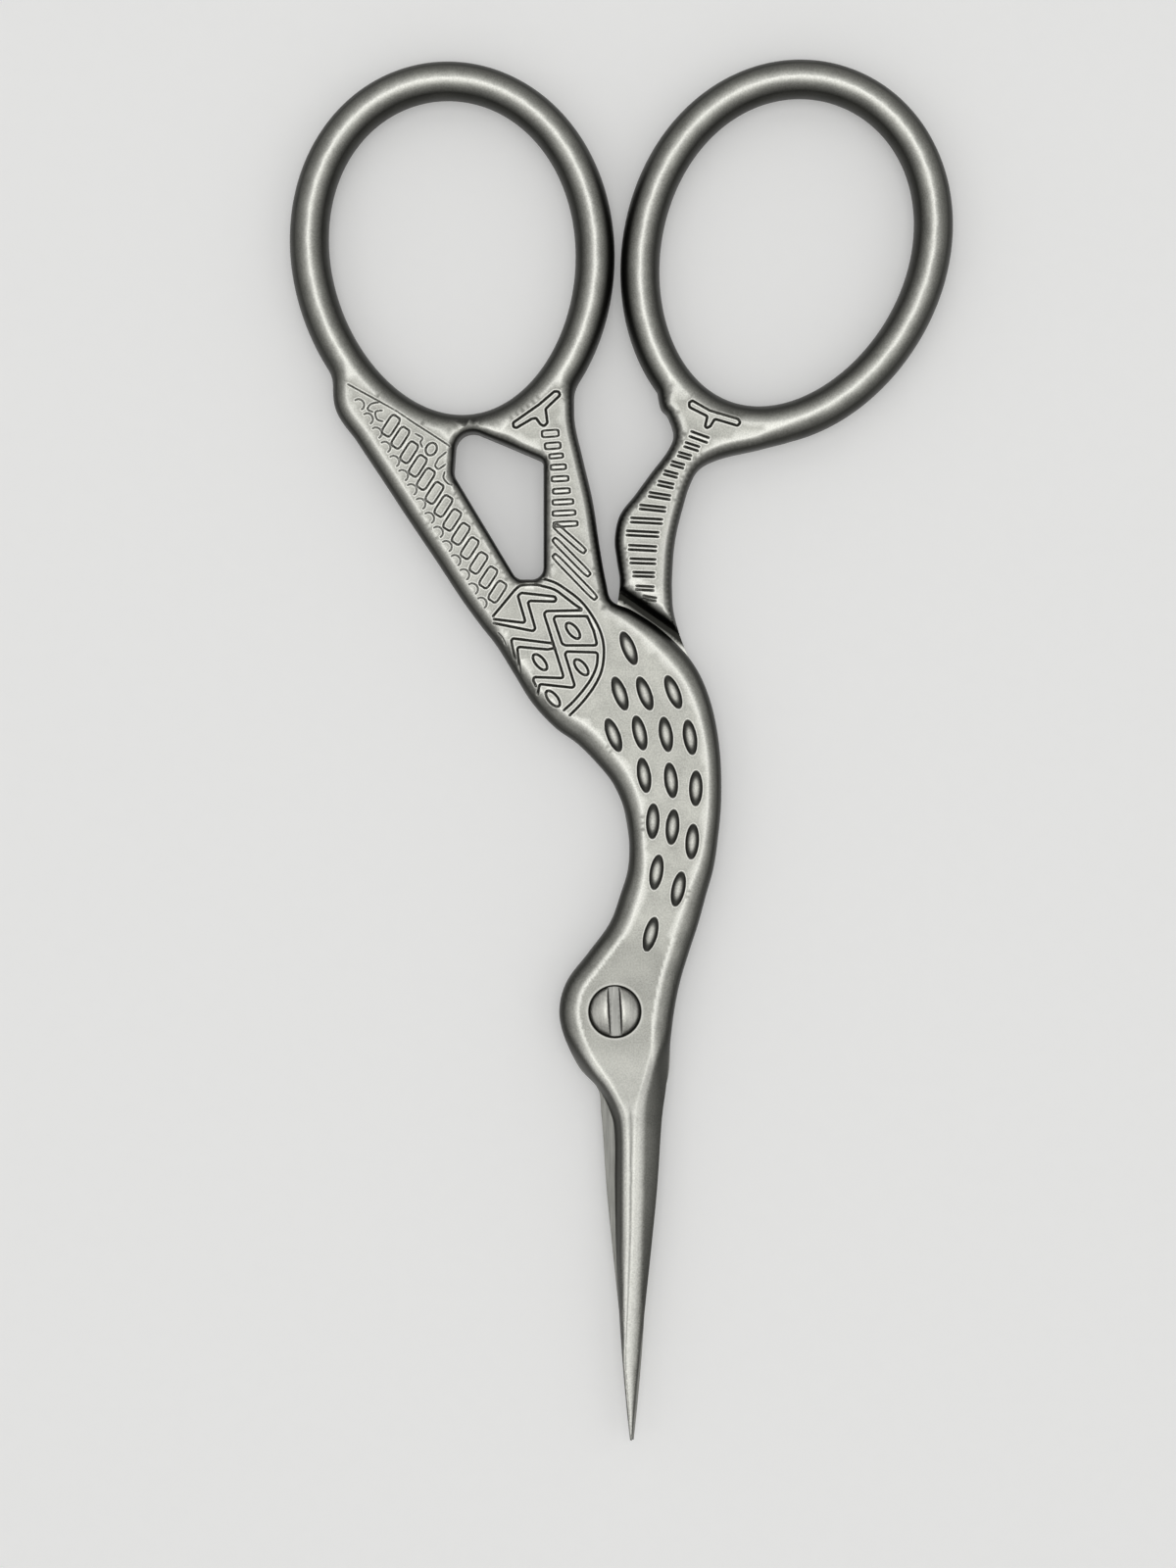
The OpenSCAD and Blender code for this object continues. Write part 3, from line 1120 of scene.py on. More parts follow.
def shape_tree() -> ShapeTree:
    """The node tree that raises a slab to its shape and carves it.

    Returns:
        A tree for a mesh with the attributes face, shaped, level and carved, inset and wall for round
        shoulders, and bevel, land, spine and blade. Lengths are in metres, heights from the mating plane.
    """
    t = ShapeTree("raise_and_carve")
    middle = t.input("Mating plane height", value=HALF_T * MM)
    lip_height = t.input("Lip height", value=0.016 * MM)
    lip_width = t.input("Lip width", value=0.11 * MM)
    position = t.node("GeometryNodeInputPosition")
    x, y = t.part(position, "X"), t.part(position, "Y")
    plan = t.vector(x, y, 0.0)

    inset, wall, blade = t.attribute("inset"), t.attribute("wall"), t.attribute("blade")
    face, shaped, carved = t.attribute("face"), t.attribute("shaped"), t.attribute("carved")
    land, spine, bevel = t.attribute("land"), t.attribute("spine"), t.attribute("bevel")
    out = 1 - inset
    plate = wall + (middle - wall) * (1 - out * out).root()
    surface = face * (plate * (1 - blade) + (land + (spine - land) * bevel) * blade)

    depth: Socket | float = 0.0
    lip: Socket | float = 0.0
    groove: Socket | float = 0.0
    for name in CUT_NAMES:
        lines = t.input(f"{name} lines", "NodeSocketObject")
        half = t.input(f"{name} half width", value=0.1 * MM)
        deep = t.input(f"{name} depth", value=0.1 * MM)
        target = t.node("GeometryNodeObjectInfo", None, {"Object": lines}, "Geometry")
        away = t.node(
            "GeometryNodeProximity",
            {"target_element": "EDGES"},
            {"Geometry": target, "Sample Position": plan},
            "Distance",
        )
        hollow = 1 - (away / half).ramp(*CUT_WALL, smooth=False)
        depth = (hollow * deep).above(depth)
        # A cut's painted shade, as dark as its darkness
        dark = t.input(f"{name} darkness", value=0.8)
        groove = (dark * (1 - (away / half).ramp(*CUT_DARK))).above(groove)
        lip = ((away - half) / lip_width).band(LIP_RISE, LIP_FALL).above(lip)

    dimples = t.input("Dimples", "NodeSocketObject")
    points = t.node("GeometryNodeObjectInfo", None, {"Object": dimples}, "Geometry")
    inputs = {"Geometry": points, "Sample Position": plan}
    nearest = t.node("GeometryNodeSampleNearest", {"domain": "POINT"}, inputs)

    def at_nearest(value: Socket, kind: str = "FLOAT") -> Socket:
        """Reads the nearest dimple.

        Args:
            value: what is read.
            kind: its data type.

        Returns:
            The value.
        """
        return t.node(
            "GeometryNodeSampleIndex",
            {"data_type": kind, "domain": "POINT"},
            {"Geometry": points, "Value": value, "Index": nearest},
            "Value",
        )

    centre = at_nearest(position, "FLOAT_VECTOR")
    dx, dy = x - t.part(centre, "X"), y - t.part(centre, "Y")
    lean = at_nearest(t.attribute("lean"))
    cos = t.node("ShaderNodeMath", {"operation": "COSINE"}, {0: lean})
    sin = t.node("ShaderNodeMath", {"operation": "SINE"}, {0: lean})
    across = (dx * cos + dy * sin) / at_nearest(t.attribute("half_width"))
    along = (dy * cos - dx * sin) / at_nearest(t.attribute("half_length"))
    ring = (across * across + along * along).root()
    depth = ((1 - ring * ring).root() * t.input("Dimple depth", value=0.26 * MM)).above(depth)
    # Painted shade on the dimple's wall, and a painted highlight on its lip and in its middle
    groove = (ring.band(DIMPLE_RISE, DIMPLE_FALL) * DIMPLE_DARK).above(groove)
    reach = (dx * dx + dy * dy).root()
    beyond = (ring - 1) / ring.above(0.01) * reach / lip_width
    lip = beyond.band(DIMPLE_LIP_RISE, LIP_FALL).above(lip)
    worn = lip.above((1 - ring.ramp(*DIMPLE_MIDDLE)) * MIDDLE_HIGHLIGHT)

    on = carved * shaped * inset.ramp(*CARVED_FROM)
    carved_surface = surface - face * on * (depth - lip * lip_height)
    height = carved_surface * shaped + t.attribute("level") * (1 - shaped)
    inputs = {"Geometry": t.geometry, "Position": t.vector(x, y, height + middle)}
    moved = t.node("GeometryNodeSetPosition", None, inputs)
    # Painted shade in the cuts and on the dimples' walls, and the painted shade that the slab brings
    kept = t.store(moved, "groove", (groove * on).above(t.attribute("recess")))
    # Painted highlights on the shoulders' and bevels' upper rims, on the lips, in the dimples' middles and from
    # the slab
    bevel_rim = bevel.band(BEVEL_RISE, BEVEL_FALL, BEVEL_DROP)
    rim = inset.band(RIM_RISE, RIM_FALL) * (1 - blade) + bevel_rim * blade
    kept = t.store(kept, "lip", (worn * on).above(rim * shaped * RIM_HIGHLIGHT).above(t.attribute("polish")))
    # Painted shade on steep walls, a little less on blades
    normal = t.node("GeometryNodeInputNormal", None, None, "Normal")
    upright = t.node("ShaderNodeMath", {"operation": "ABSOLUTE"}, {0: t.part(normal, "Z")})
    kept = t.store(kept, "steep", (1 - upright.ramp(*UPRIGHT)) * (1 - BLADE_LIGHT * blade))
    t.finish(kept)
    return t


# ---------------------------------------------------------------- slabs


@dataclass(frozen=True)
class Zone:
    """A part of a slab's face that lies flat at a height of its own, inside a closed line.

    ground is how bare its metal is, dark the least painted shade it gets, and shaded how much of the slab's own
    painted shade and painted highlights it keeps.
    """

    line: Array
    level: float
    ground: float = 1.0
    dark: float = 0.0
    shaded: float = 0.0


@dataclass
class FacePlan:
    """One face of a slab: its zones, which have a mesh line at their edge, and more points for its mesh."""

    zones: list[Zone] = field(default_factory=list)
    points: list[Array] = field(default_factory=list)
    creases: list[Array] = field(default_factory=list)
    carved: bool = False


@dataclass
class Slab:
    """A closed solid over an outline, with an upper and a lower face."""

    name: str
    loops: list[Array]
    faces: dict[int, FacePlan]
    fill: float = 0.6
    # The longest step along a zone's line, and the least distances between points and from lines
    line_step: float = 0.3
    spacing: float = 0.02
    clearance: float = 0.025
    # How far the fill keeps from points and from lines, as shares of its own step
    fill_from_points: float = 0.45
    fill_from_lines: float = 0.3
    runs: dict[int, list[Array]] = field(init=False)

    def crossings(self) -> None:
        """Adds to the outline the points where the zones' lines cross it, and keeps each line's inner runs."""
        self.runs = {TOP: [], BOTTOM: []}
        for side, plan in self.faces.items():
            for zone in plan.zones:
                line = zone.line
                cuts: list[list[tuple[float, Array]]] = [[] for _ in line]
                for k, loop in enumerate(self.loops):
                    added: list[tuple[float, Array]] = []
                    for i, (a, b) in enumerate(zip(line, np.roll(line, -1, 0))):
                        p, q = loop, np.roll(loop, -1, 0)
                        r, s = b - a, q - p
                        cross = r[0] * s[:, 1] - r[1] * s[:, 0]
                        cross[cross == 0] = 1e-12
                        w = p - a
                        t = (w[:, 0] * s[:, 1] - w[:, 1] * s[:, 0]) / cross
                        u = (w[:, 0] * r[1] - w[:, 1] * r[0]) / cross
                        for j in np.flatnonzero((t > 0) & (t < 1) & (u >= 0) & (u < 1)):
                            place = a + r * t[j]
                            cuts[i].append((float(t[j]), place))
                            added.append((j + float(u[j]), place))
                    for spot, place in sorted(added, key=lambda e: -e[0]):
                        self.loops[k] = np.insert(self.loops[k], int(spot) + 1, place, 0)
                points = []
                marked = []
                for a, found in zip(line, cuts):
                    points.append(a)
                    marked.append(False)
                    for _, place in sorted(found, key=lambda e: e[0]):
                        points.append(place)
                        marked.append(True)
                points = np.array(points)
                if not any(marked):
                    self.runs[side].append(np.vstack([points, points[:1]]))
                    continue
                first = marked.index(True)
                points, marked = np.roll(points, -first, 0), marked[first:] + marked[:first]
                stops = [i for i, m in enumerate(marked) if m] + [len(points)]
                ring = np.vstack([points, points[:1]])
                for i, j in zip(stops[:-1], stops[1:]):
                    run = ring[i : j + 1]
                    if inside(((run[:-1] + run[1:]) / 2)[:1], self.loops)[0]:
                        self.runs[side].append(divided(run, self.line_step))

    def mesh_face(self, side: int) -> tuple[Array, Array, Array, dict[int, int]]:
        """Triangulates one face.

        Args:
            side: TOP or BOTTOM.

        Returns:
            Its points, its triangles, the zone of each triangle, and where the outline's points went.
        """
        plan = self.faces[side]
        points = [np.vstack(self.loops)]
        edges: list[tuple[int, int]] = []
        start = 0
        for loop in self.loops:
            edges += [(start + i, start + (i + 1) % len(loop)) for i in range(len(loop))]
            start += len(loop)
        fixed = [Lines.of_loops(self.loops)]
        for run in [*self.runs[side], *plan.creases]:
            points.append(run)
            edges += [(start + i, start + i + 1) for i in range(len(run) - 1)]
            start += len(run)
            fixed.append(Lines(run[:-1], run[1:]))
        extra = thinned(np.vstack(plan.points), self.spacing) if plan.points else np.zeros((0, 2))
        extra = extra[inside(extra, self.loops)]
        for lines in fixed:
            extra = extra[lines.nearest(extra)[0] > self.clearance]
        grid = grid_points(points[0].min(0), points[0].max(0), self.fill)
        grid[1::2, :, 0] += self.fill / 2
        grid = grid.reshape(-1, 2)
        grid = grid[inside(grid, self.loops)]
        if len(extra) and len(grid):
            tree = plane_tree(extra)
            near = np.array([tree.find((px, py, 0))[2] for px, py in grid.tolist()])
            grid = grid[near > self.fill_from_points * self.fill]
        for lines in fixed:
            grid = grid[lines.nearest(grid)[0] > self.fill_from_lines * self.fill] if len(grid) else grid
        places, faces, went = triangles(np.vstack([*points, extra, grid]), edges)
        middles = places[faces].mean(1)
        keep = inside(middles, self.loops)
        faces, middles = faces[keep], middles[keep]
        zone = np.zeros(len(faces), int)
        for k, found in enumerate(plan.zones):
            zone[inside(middles, [found.line])] = k + 1
        return places, faces, zone, went

    def build(self, shape_of: Callable[[Array, int], dict[str, Any]]) -> bpy.types.Object:
        """Builds the slab, flat as yet, with the attributes that the shape tree reads.

        Args:
            shape_of: gives the shape attributes of points of a face, from the points and the side.

        Returns:
            The object.
        """
        self.crossings()
        spots: list[Array] = []
        traits: dict[str, list[Array]] = {}
        polygons: list[list[int]] = []
        count = 0
        size = sum(len(loop) for loop in self.loops)
        columns: dict[int, dict[int, dict[int, int]]] = {TOP: {}, BOTTOM: {}}
        rims: dict[int, dict[int, tuple[int, int]]] = {TOP: {}, BOTTOM: {}}
        for side, plan in self.faces.items():
            places, faces, zones, went = self.mesh_face(side)
            back = {new: old for old, new in went.items() if old < size}
            number: dict[tuple[int, int], int] = {}
            ids = np.empty_like(faces)
            for zone in range(len(plan.zones) + 1):
                mine = zones == zone
                used = np.unique(faces[mine])
                if not len(used):
                    continue
                lookup = np.zeros(len(places), int)
                lookup[used] = count + np.arange(len(used))
                ids[mine] = lookup[faces[mine]]
                for i, v in enumerate(used.tolist()):
                    number[zone, v] = count + i
                    if v in back:
                        columns[side].setdefault(back[v], {})[zone] = count + i
                count += len(used)
                spots.append(places[used])
                values = {"face": side, "shaped": float(zone == 0)}
                values |= dict.fromkeys(("level", "ground", "recess", "polish"), 0.0)
                values |= shape_of(places[used], side)
                values["carved"] = float(plan.carved and zone == 0)
                if zone:
                    flat = plan.zones[zone - 1]
                    # A zone keeps its share of the slab's painted shade and highlights, and at least its own
                    # painted shade
                    values["recess"] = np.maximum(values["recess"] * flat.shaded, flat.dark)
                    values["level"] = flat.level * MM
                    values["ground"] = flat.ground * (1 - values["recess"])
                    values["polish"] = values["polish"] * flat.shaded
                for key, value in values.items():
                    traits.setdefault(key, []).append(np.broadcast_to(np.asarray(value, float), len(used)))
            polygons += (ids if side == TOP else ids[:, ::-1]).tolist()
            owner = {
                (f[k], f[(k + 1) % 3]): z for f, z in zip(faces.tolist(), zones.tolist()) for k in range(3)
            }
            for (u, v), z in owner.items():
                other = owner.get((v, u))
                if other is None:
                    rims[side][back[u]] = (back[v], z)
                elif other > z:
                    quad = [number[z, u], number[other, u], number[other, v], number[z, v]]
                    polygons.append(quad if side == TOP else quad[::-1])

        def column(v: int, upper: int, lower: int) -> list[int]:
            """The vertices of an outline point, from the upper face's zone down to the lower face's.

            Args:
                v: the outline point.
                upper: its zone on the upper face.
                lower: its zone on the lower face.

            Returns:
                The vertices.
            """
            above, below = columns[TOP][v], columns[BOTTOM][v]
            between = [n for z, n in sorted(above.items()) if z > upper]
            between += [n for z, n in sorted(below.items(), reverse=True) if z > lower]
            return [above[upper], *between, below[lower]]

        for u, (v, upper) in rims[TOP].items():
            lower = rims[BOTTOM][u][1]
            polygons.append(column(u, upper, lower) + column(v, upper, lower)[::-1])
        whole = np.vstack(spots)
        mesh = bpy.data.meshes.new(self.name)
        mesh.from_pydata(to_frame(np.column_stack([whole, np.zeros(len(whole))])).tolist(), [], polygons)
        for key, parts in traits.items():
            mesh.attributes.new(key, "FLOAT", "POINT").data.foreach_set("value", np.concatenate(parts))
        return new_object(self.name + "_flat", mesh)


SHARP_DEGREES = 50


def finished(
    name: str,
    source: bpy.types.Object,
    tree: ShapeTree,
    carving: Carving | None,
    material: bpy.types.Material,
) -> bpy.types.Object:
    """Raises and carves a slab, and leaves one plain object.

    Args:
        name: the piece's name.
        source: the flat slab, which is removed.
        tree: the shape tree.
        carving: what to carve, if anything.
        material: the piece's material.

    Returns:
        The piece.
    """
    carving = carving or Carving({name: Cut([], 0.1, 0.1, 0.0) for name in CUT_NAMES})
    helpers = [carving.dimple_object("dimples")]
    values = {
        "Material": material,
        "Dimples": helpers[0],
        "Dimple depth": carving.dimple_depth * MM,
        "Lip width": carving.lip_width * MM,
        "Lip height": carving.lip_height * MM,
    }
    for key, cut in carving.cuts.items():
        helpers.append(carving.line_object(f"{key}_lines", cut.lines))
        values |= {
            f"{key} lines": helpers[-1],
            f"{key} half width": cut.half * MM,
            f"{key} depth": cut.depth * MM,
            f"{key} darkness": cut.dark,
        }
    mesh = tree.bake(source, values)
    for thing in [*helpers, source]:
        dropped(thing)
    mesh.name = name
    mesh.shade_smooth()
    mesh.set_sharp_from_angle(angle=math.radians(SHARP_DEGREES))
    piece = new_object(name, mesh)
    count = sum(len(p.vertices) - 2 for p in mesh.polygons)
    LOG.info("%s: %d vertices, %d triangles", name, len(mesh.vertices), count)
    return piece


# ---------------------------------------------------------------- the halves


@dataclass(frozen=True)
class EggRing:
    """A finger ring: a round bar along an egg-shaped line, leaned over."""

    centre: tuple[float, float]
    lean: float
    width: float = 16.9
    height: float = 21.7
    bar: float = 2.7
    fuller: float = 0.06

    def at(self, degrees: Any) -> Array:
        """Points on the middle of the bar, by their angles clockwise from the top.

        Args:
            degrees: the angles.

        Returns:
            The points.
        """
        t = np.radians(degrees)
        x = (self.width + self.bar) / 2 * np.sin(t) * (1 + self.fuller * np.cos(t))
        y = (self.height + self.bar) / 2 * np.cos(t)
        return turned(np.stack([x, y], -1), self.lean) + self.centre

    def edges(self, count: int = 260) -> tuple[Array, Array]:
        """The outer and the inner edge of the bar.

        Args:
            count: the number of points on each.

        Returns:
            The two edges.
        """
        middle = self.at(np.arange(count) * 360 / count)
        step = np.roll(middle, -1, 0) - np.roll(middle, 1, 0)
        out = left_of(step)
        return middle + out * self.bar / 2, middle - out * self.bar / 2


@dataclass(frozen=True)
class BladeFacets:
    """Where the ridge and the outer facet of a blade run, and how high the blade is, from head to tip."""

    # y, left and right side of the ridge, facet line, height of the ridge
    stations: tuple[tuple[float, float, float, float, float], ...] = (
        (-1.0, -2.40, 2.78, 3.40, 1.70),
        (-2.0, -2.05, 2.60, 3.20, 1.70),
        (-3.0, -1.58, 2.41, 2.92, 1.70),
        (-4.0, -0.92, 2.14, 2.63, 1.70),
        (-5.0, -0.25, 1.86, 2.38, 1.68),
        (-6.0, 0.32, 1.56, 2.14, 1.64),
        (-7.0, 0.74, 1.40, 2.02, 1.575),
        (-8.5, 0.92, 1.32, 1.98, 1.45),
        (-12.0, 0.95, 1.25, 1.95, 1.30),
        (-16.0, 0.92, 1.16, 1.90, 1.12),
        (-20.0, 0.80, 1.00, 1.80, 0.93),
        (-24.0, 0.66, 0.84, 1.62, 0.75),
        (-26.0, 0.80, 0.94, 1.42, 0.66),
        (-28.0, 0.97, 1.07, 1.25, 0.57),
        (-29.6, 1.10, 1.13, 1.16, 0.50),
    )
    facet_height: float = 0.86
    hollow: float = 3.0
    bulge: float = 2.4
    gully: float = 0.035
    lines_end: float = -2.2
    edge_land: float = 0.2
    back_land: float = 0.4
    starts: float = -1.0
    full: float = -4.2
    # The least share of the width that a bevel keeps, and how the ridge falls to the facet line
    margin: float = 0.1
    facet_bend: float = 1.7
    # The painted shade line between the ridge's two sides: where it sets in, over what length, and how dark.
    # The painted highlight lines below fade in over the same length
    dark_from: float = -5.8
    fade_in: float = 1.5
    dark: float = 0.55
    # The painted highlight along each side of the ridge: where it sets in, how bright and its half width
    bright_from: float = -1.5
    bright: float = 0.9
    bright_half: float = 0.11
    # Mesh points beside the ridge's lines, and more of them on the hollow side
    rail_reach: float = 0.16
    hollow_rails: tuple[float, ...] = (-0.32, -0.5, -0.7)

    def table(self) -> Array:
        """The stations with a smooth run between them, from the tip upwards."""
        return smooth_rows(self.stations, 8)[::-1]

    def lines(self, step: float = 0.15) -> list[Array]:
        """The ridge's two sides and the facet line, from near the tip upwards.

        Args:
            step: the step along the blade.

        Returns:
            The three lines.
        """
        table = self.table()
        y = np.arange(self.stations[-1][0] + 0.5, self.lines_end, step)
        return [np.stack([np.interp(y, table[:, 0], table[:, k]), y], 1) for k in (1, 2, 3)]

    def rails(self) -> Array:
        """Points beside the ridge and the facet line.

        Returns:
            The points.
        """
        a, b, c = self.lines()
        sides = [(a + b) / 2, (b + c) / 2]
        sides += [line + [reach, 0] for line in (a, b, c) for reach in (-self.rail_reach, self.rail_reach)]
        sides += [a + [reach, 0] for reach in self.hollow_rails]
        return np.vstack(sides)

    def heights(self, points: Array, left: Array, right: Array) -> dict[str, Array]:
        """The attributes that shape a blade whose cutting edge is on the left.

        Args:
            points: the points.
            left: the left edge's points, from the tip upwards.
            right: the right edge's points, from the tip upwards.

        Returns:
            bevel, the height's share from the edge to the ridge; the painted shade and the painted highlights
            along the ridge; land and spine, the heights at the edge and at the ridge; blade, how far the
            blade's rule holds.
        """
        table = self.table()
        x, y = points[:, 0], points[:, 1]
        a, b, facet, spine = (np.interp(y, table[:, 0], table[:, k]) for k in (1, 2, 3, 4))
        edge, back = np.interp(y, left[:, 1], left[:, 0]), np.interp(y, right[:, 1], right[:, 0])
        a = np.maximum(a, edge + self.margin * (back - edge))
        b = np.maximum(a, b)
        facet = np.minimum(facet, back - self.margin * (back - edge))
        rising = 1 - np.clip(1 - (x - edge) / (a - edge), 0, None) ** self.hollow
        past = np.clip(x - b, 0, None) / np.maximum(facet - b, 1e-3)
        inner = 1 - (1 - self.facet_height) * past**self.facet_bend
        outer = self.facet_height * (back - x) / (back - facet)
        rounded = 1 - share_of(x - b, back - b) ** self.bulge
        falling = (np.where(x <= facet, inner, outer) + rounded) / 2
        share = share_of(self.starts - y, self.starts - self.full)
        between = share_of(1 - np.abs(x - (a + b) / 2) / np.maximum((b - a) / 2, 0.02))
        along = share_of(self.dark_from - y, self.fade_in)
        # A painted highlight along each side of the ridge, and a painted shade line between them
        bright = self.bright * soft_line(np.minimum(np.abs(x - a), np.abs(x - b)), self.bright_half)
        return {
            "bevel": share_of(np.minimum(rising, falling)) - self.gully * between * along,
            "recess": self.dark * share_of(1.6 * between - 0.6) * along,
            "polish": bright * share_of(self.bright_from - y, self.fade_in),
            "land": np.where(rising < falling, self.edge_land, self.back_land) * MM,
            "spine": spine * MM,
            "blade": share * share * (3 - 2 * share),
        }


@dataclass(frozen=True)
class PaintedLight:
    """Painted shadow and highlights beside the lap, a painted highlight round the screw's seat, and a darker
    head.
    """

    # The painted shadow in the gap beside the lap, its painted highlight's start, rise, end and fall, and how
    # bright that is
    gap: float = 0.66
    gap_fade: float = 0.2
    rim_from: float = 0.45
    rim_rise: float = 0.15
    rim_to: float = 1.7
    rim_fall: float = 0.3
    rim: float = 0.75
    # The painted highlight line round the seat
    seat_out: float = 0.07
    seat_half: float = 0.09
    seat: float = 0.5
    # How dark the head's flat is, from above the screw down to the blade, and where the flat begins
    head: float = 0.2
    head_top: float = 6.5
    head_top_fade: float = 3.0
    head_end: float = 7.0
    head_end_fade: float = 1.5
    flat_from: float = 0.9
    flat_rise: float = 0.1

    def head_shade(self, y: Array, inset: Array) -> Array:
        """How much darker the head's flat is than the body's.

        Args:
            y: how far up the points are.
            inset: how far in from the shoulder they are.

        Returns:
            How dark the metal is at each point.
        """
        shade = self.head * share_of(self.head_top - y, self.head_top_fade)
        shade = shade * share_of(y + self.head_end, self.head_end_fade)
        return shade * share_of(inset - self.flat_from, self.flat_rise)

    def beside_lap(self, reach: Array) -> tuple[Array, Array]:
        """The painted shadow and the painted highlight at a distance from the lap's edge.

        Args:
            reach: the distances.

        Returns:
            How much painted shadow and how much painted highlight there is.
        """
        bright = self.rim * share_of(reach - self.rim_from, self.rim_rise)
        return share_of(self.gap - reach, self.gap_fade), bright * share_of(self.rim_to - reach, self.rim_fall)

    def round_seat(self, reach: Array, radius: float) -> Array:
        """The painted highlight at a distance from the middle of a seat."""
        return self.seat * soft_line(np.abs(reach - radius - self.seat_out), self.seat_half)


@dataclass
class ScissorHalf:
    """One half: finger ring, leg, body, neck, head and blade in one piece."""

    name: str
    node: str
    body: str
    ring: EggRing
    ring_angles: tuple[float, float]
    ring_shoulders: tuple[float, float]
    rows: tuple[tuple[float, ...], ...]
    lap: Array
    lap_side: int
    lap_shoulder: float
    hole: float
    carving: Carving
    seat: float = 0.0
    seat_level: float = 0.9
    opening: tuple[tuple[float, float, float], ...] = ()
    opening_edge: float = 0.6
    lap_drop: float = 0.6
    opening_wall: float = 0.95
    facets: BladeFacets = field(default_factory=BladeFacets)
    mirrored_blade: bool = False
    wear: PaintedLight = field(default_factory=PaintedLight)
    steps: int = 8
    outline_step: float = 0.2
    ring_wall: float = 0.03
    # The inner corners' fillets: the turn from which a corner has one, its reach, and rounds of smoothing
    fillet_turn: float = 30
    fillet_reach: float = 1.3
    fillet_rounds: int = 12
    # Over how many outline points a shoulder's width blends into the next
    blend_points: int = 13
    blade_top: float = 3
    # The shoulders' bends that get a row of mesh points, in degrees: above, below and beside the lap
    top_bends: tuple[float, ...] = (10, 20, 32, 45, 58, 72, 88)
    bottom_bends: tuple[float, ...] = (18, 38, 60, 88)
    lap_bends: tuple[float, ...] = (15, 32, 50, 68, 88)
    # The steps along the marks above and below
    mark_steps: tuple[float, float] = (0.1, 0.2)
    # Mesh points on the head: rings round the seat, and a grid from corner to corner
    seat_rings: tuple[float, ...] = (0.05, 0.1, 0.16, 0.24)
    head_low: tuple[float, float] = (-3.8, -5.5)
    head_high: tuple[float, float] = (4.1, 5.0)
    head_step: float = 0.16
    head_clear: float = 0.3
    loops: list[Array] = field(init=False)
    traits: list[Array] = field(init=False)
    edge: Lines = field(init=False)
    lap_edge: Lines = field(init=False)
    edge_from: Array = field(init=False)
    edge_to: Array = field(init=False)
    blade_left: Array = field(init=False)
    blade_right: Array = field(init=False)

    def plate_edges(self) -> tuple[Array, Array]:
        """The plate's left and right edge from the ring down, as rows of x, y and shoulder width.

        Returns:
            The left and the right edge.
        """
        start = self.ring.at(np.array(self.ring_angles))
        first = (*start[0], *start[1], *self.ring_shoulders)
        table = smooth_rows([first, *self.rows], self.steps)
        return table[:, [0, 1, 4]], table[:, [2, 3, 5]]

    def opening_line(self) -> Array:
        """The edge of the opening: the hull of its corners' circles.

        Returns:
            The edge, counter-clockwise.
        """
        points = np.vstack([circle(r, 48, (x, y)) for x, y, r in self.opening])
        order = points[np.lexsort((points[:, 1], points[:, 0]))]

        def chain(run: Array) -> list[Array]:
            """One side of the hull.

            Args:
                run: the points in the order of the side.

            Returns:
                The side's corners but its last.
            """
            kept: list[Array] = []
            for p in run:
                while len(kept) > 1:
                    a, b = kept[-2], kept[-1]
                    if (b[0] - a[0]) * (p[1] - a[1]) - (b[1] - a[1]) * (p[0] - a[0]) > 0:
                        break
                    kept.pop()
                kept.append(p)
            return kept[:-1]

        return np.array(chain(order) + chain(order[::-1]))

    def plan(self) -> None:
        """Works out the outline and, at each of its points, the shoulder width and the wall's height."""
        outer, inner = self.ring.edges()
        left, right = self.plate_edges()
        plate = np.vstack([left[:, :2], right[::-1, :2]])
        cut = [inner]
        sources = [(edge, self.ring.bar / 2, self.ring_wall) for edge in (outer, inner)]
        if self.opening:
            edge = self.opening_line()
            cut.append(edge)
            sources.append((evened(edge, self.outline_step), self.opening_edge, self.opening_wall))
        fillet = (self.fillet_turn, self.fillet_reach, self.fillet_rounds)
        loops = merged_outline([outer, plate], cut)
        self.loops = [softened(evened(loop, self.outline_step), *fillet) for loop in loops]
        values = [(shoulder, wall) for line, shoulder, wall in sources for _ in line]
        values += [(shoulder, SIDE_WALL) for shoulder in [*left[:, 2].tolist(), *right[:, 2].tolist()]]
        tree = plane_tree(np.vstack([*(line for line, _, _ in sources), left[:, :2], right[:, :2]]))
        window = np.hanning(self.blend_points)[1:-1]
        wrap = len(window) // 2
        self.traits = []
        for loop in self.loops:
            found = np.array([values[tree.find((x, y, 0))[1]] for x, y in loop.tolist()])
            wrapped = np.vstack([found[-wrap:], found, found[:wrap]])
            smooth = [np.convolve(wrapped[:, k], window / window.sum(), "valid") for k in (0, 1)]
            self.traits.append(np.stack(smooth, 1))
        self.edge = Lines.of_loops(self.loops)
        self.lap_edge = Lines.of_loops([self.lap])
        self.edge_from = np.vstack(self.traits)
        self.edge_to = np.vstack([np.roll(t, -1, 0) for t in self.traits])
        low = left[:, 1] < self.blade_top
        self.blade_left, self.blade_right = left[low][::-1, :2], right[low][::-1, :2]

    def form(self, points: Array, side: int) -> dict[str, Any]:
        """The shape attributes of points of a face.

        Args:
            points: the points.
            side: TOP or BOTTOM.

        Returns:
            The attributes, by name.
        """
        away, nearest, share = self.edge.nearest(points)
        mixed = self.edge_from[nearest] * (1 - share[:, None]) + self.edge_to[nearest] * share[:, None]
        low, high = self.blade_left, self.blade_right
        flipped = points
        if self.mirrored_blade:
            turn = np.array([-1.0, 1.0])
            shift = np.array([2 * BEAK_MIDDLE, 0.0])
            flipped, low, high = points * turn + shift, high * turn + shift, low * turn + shift
        values = self.facets.heights(flipped, low, high)
        inset, wall = np.clip(away / mixed[:, 0], 0, 1), mixed[:, 1]
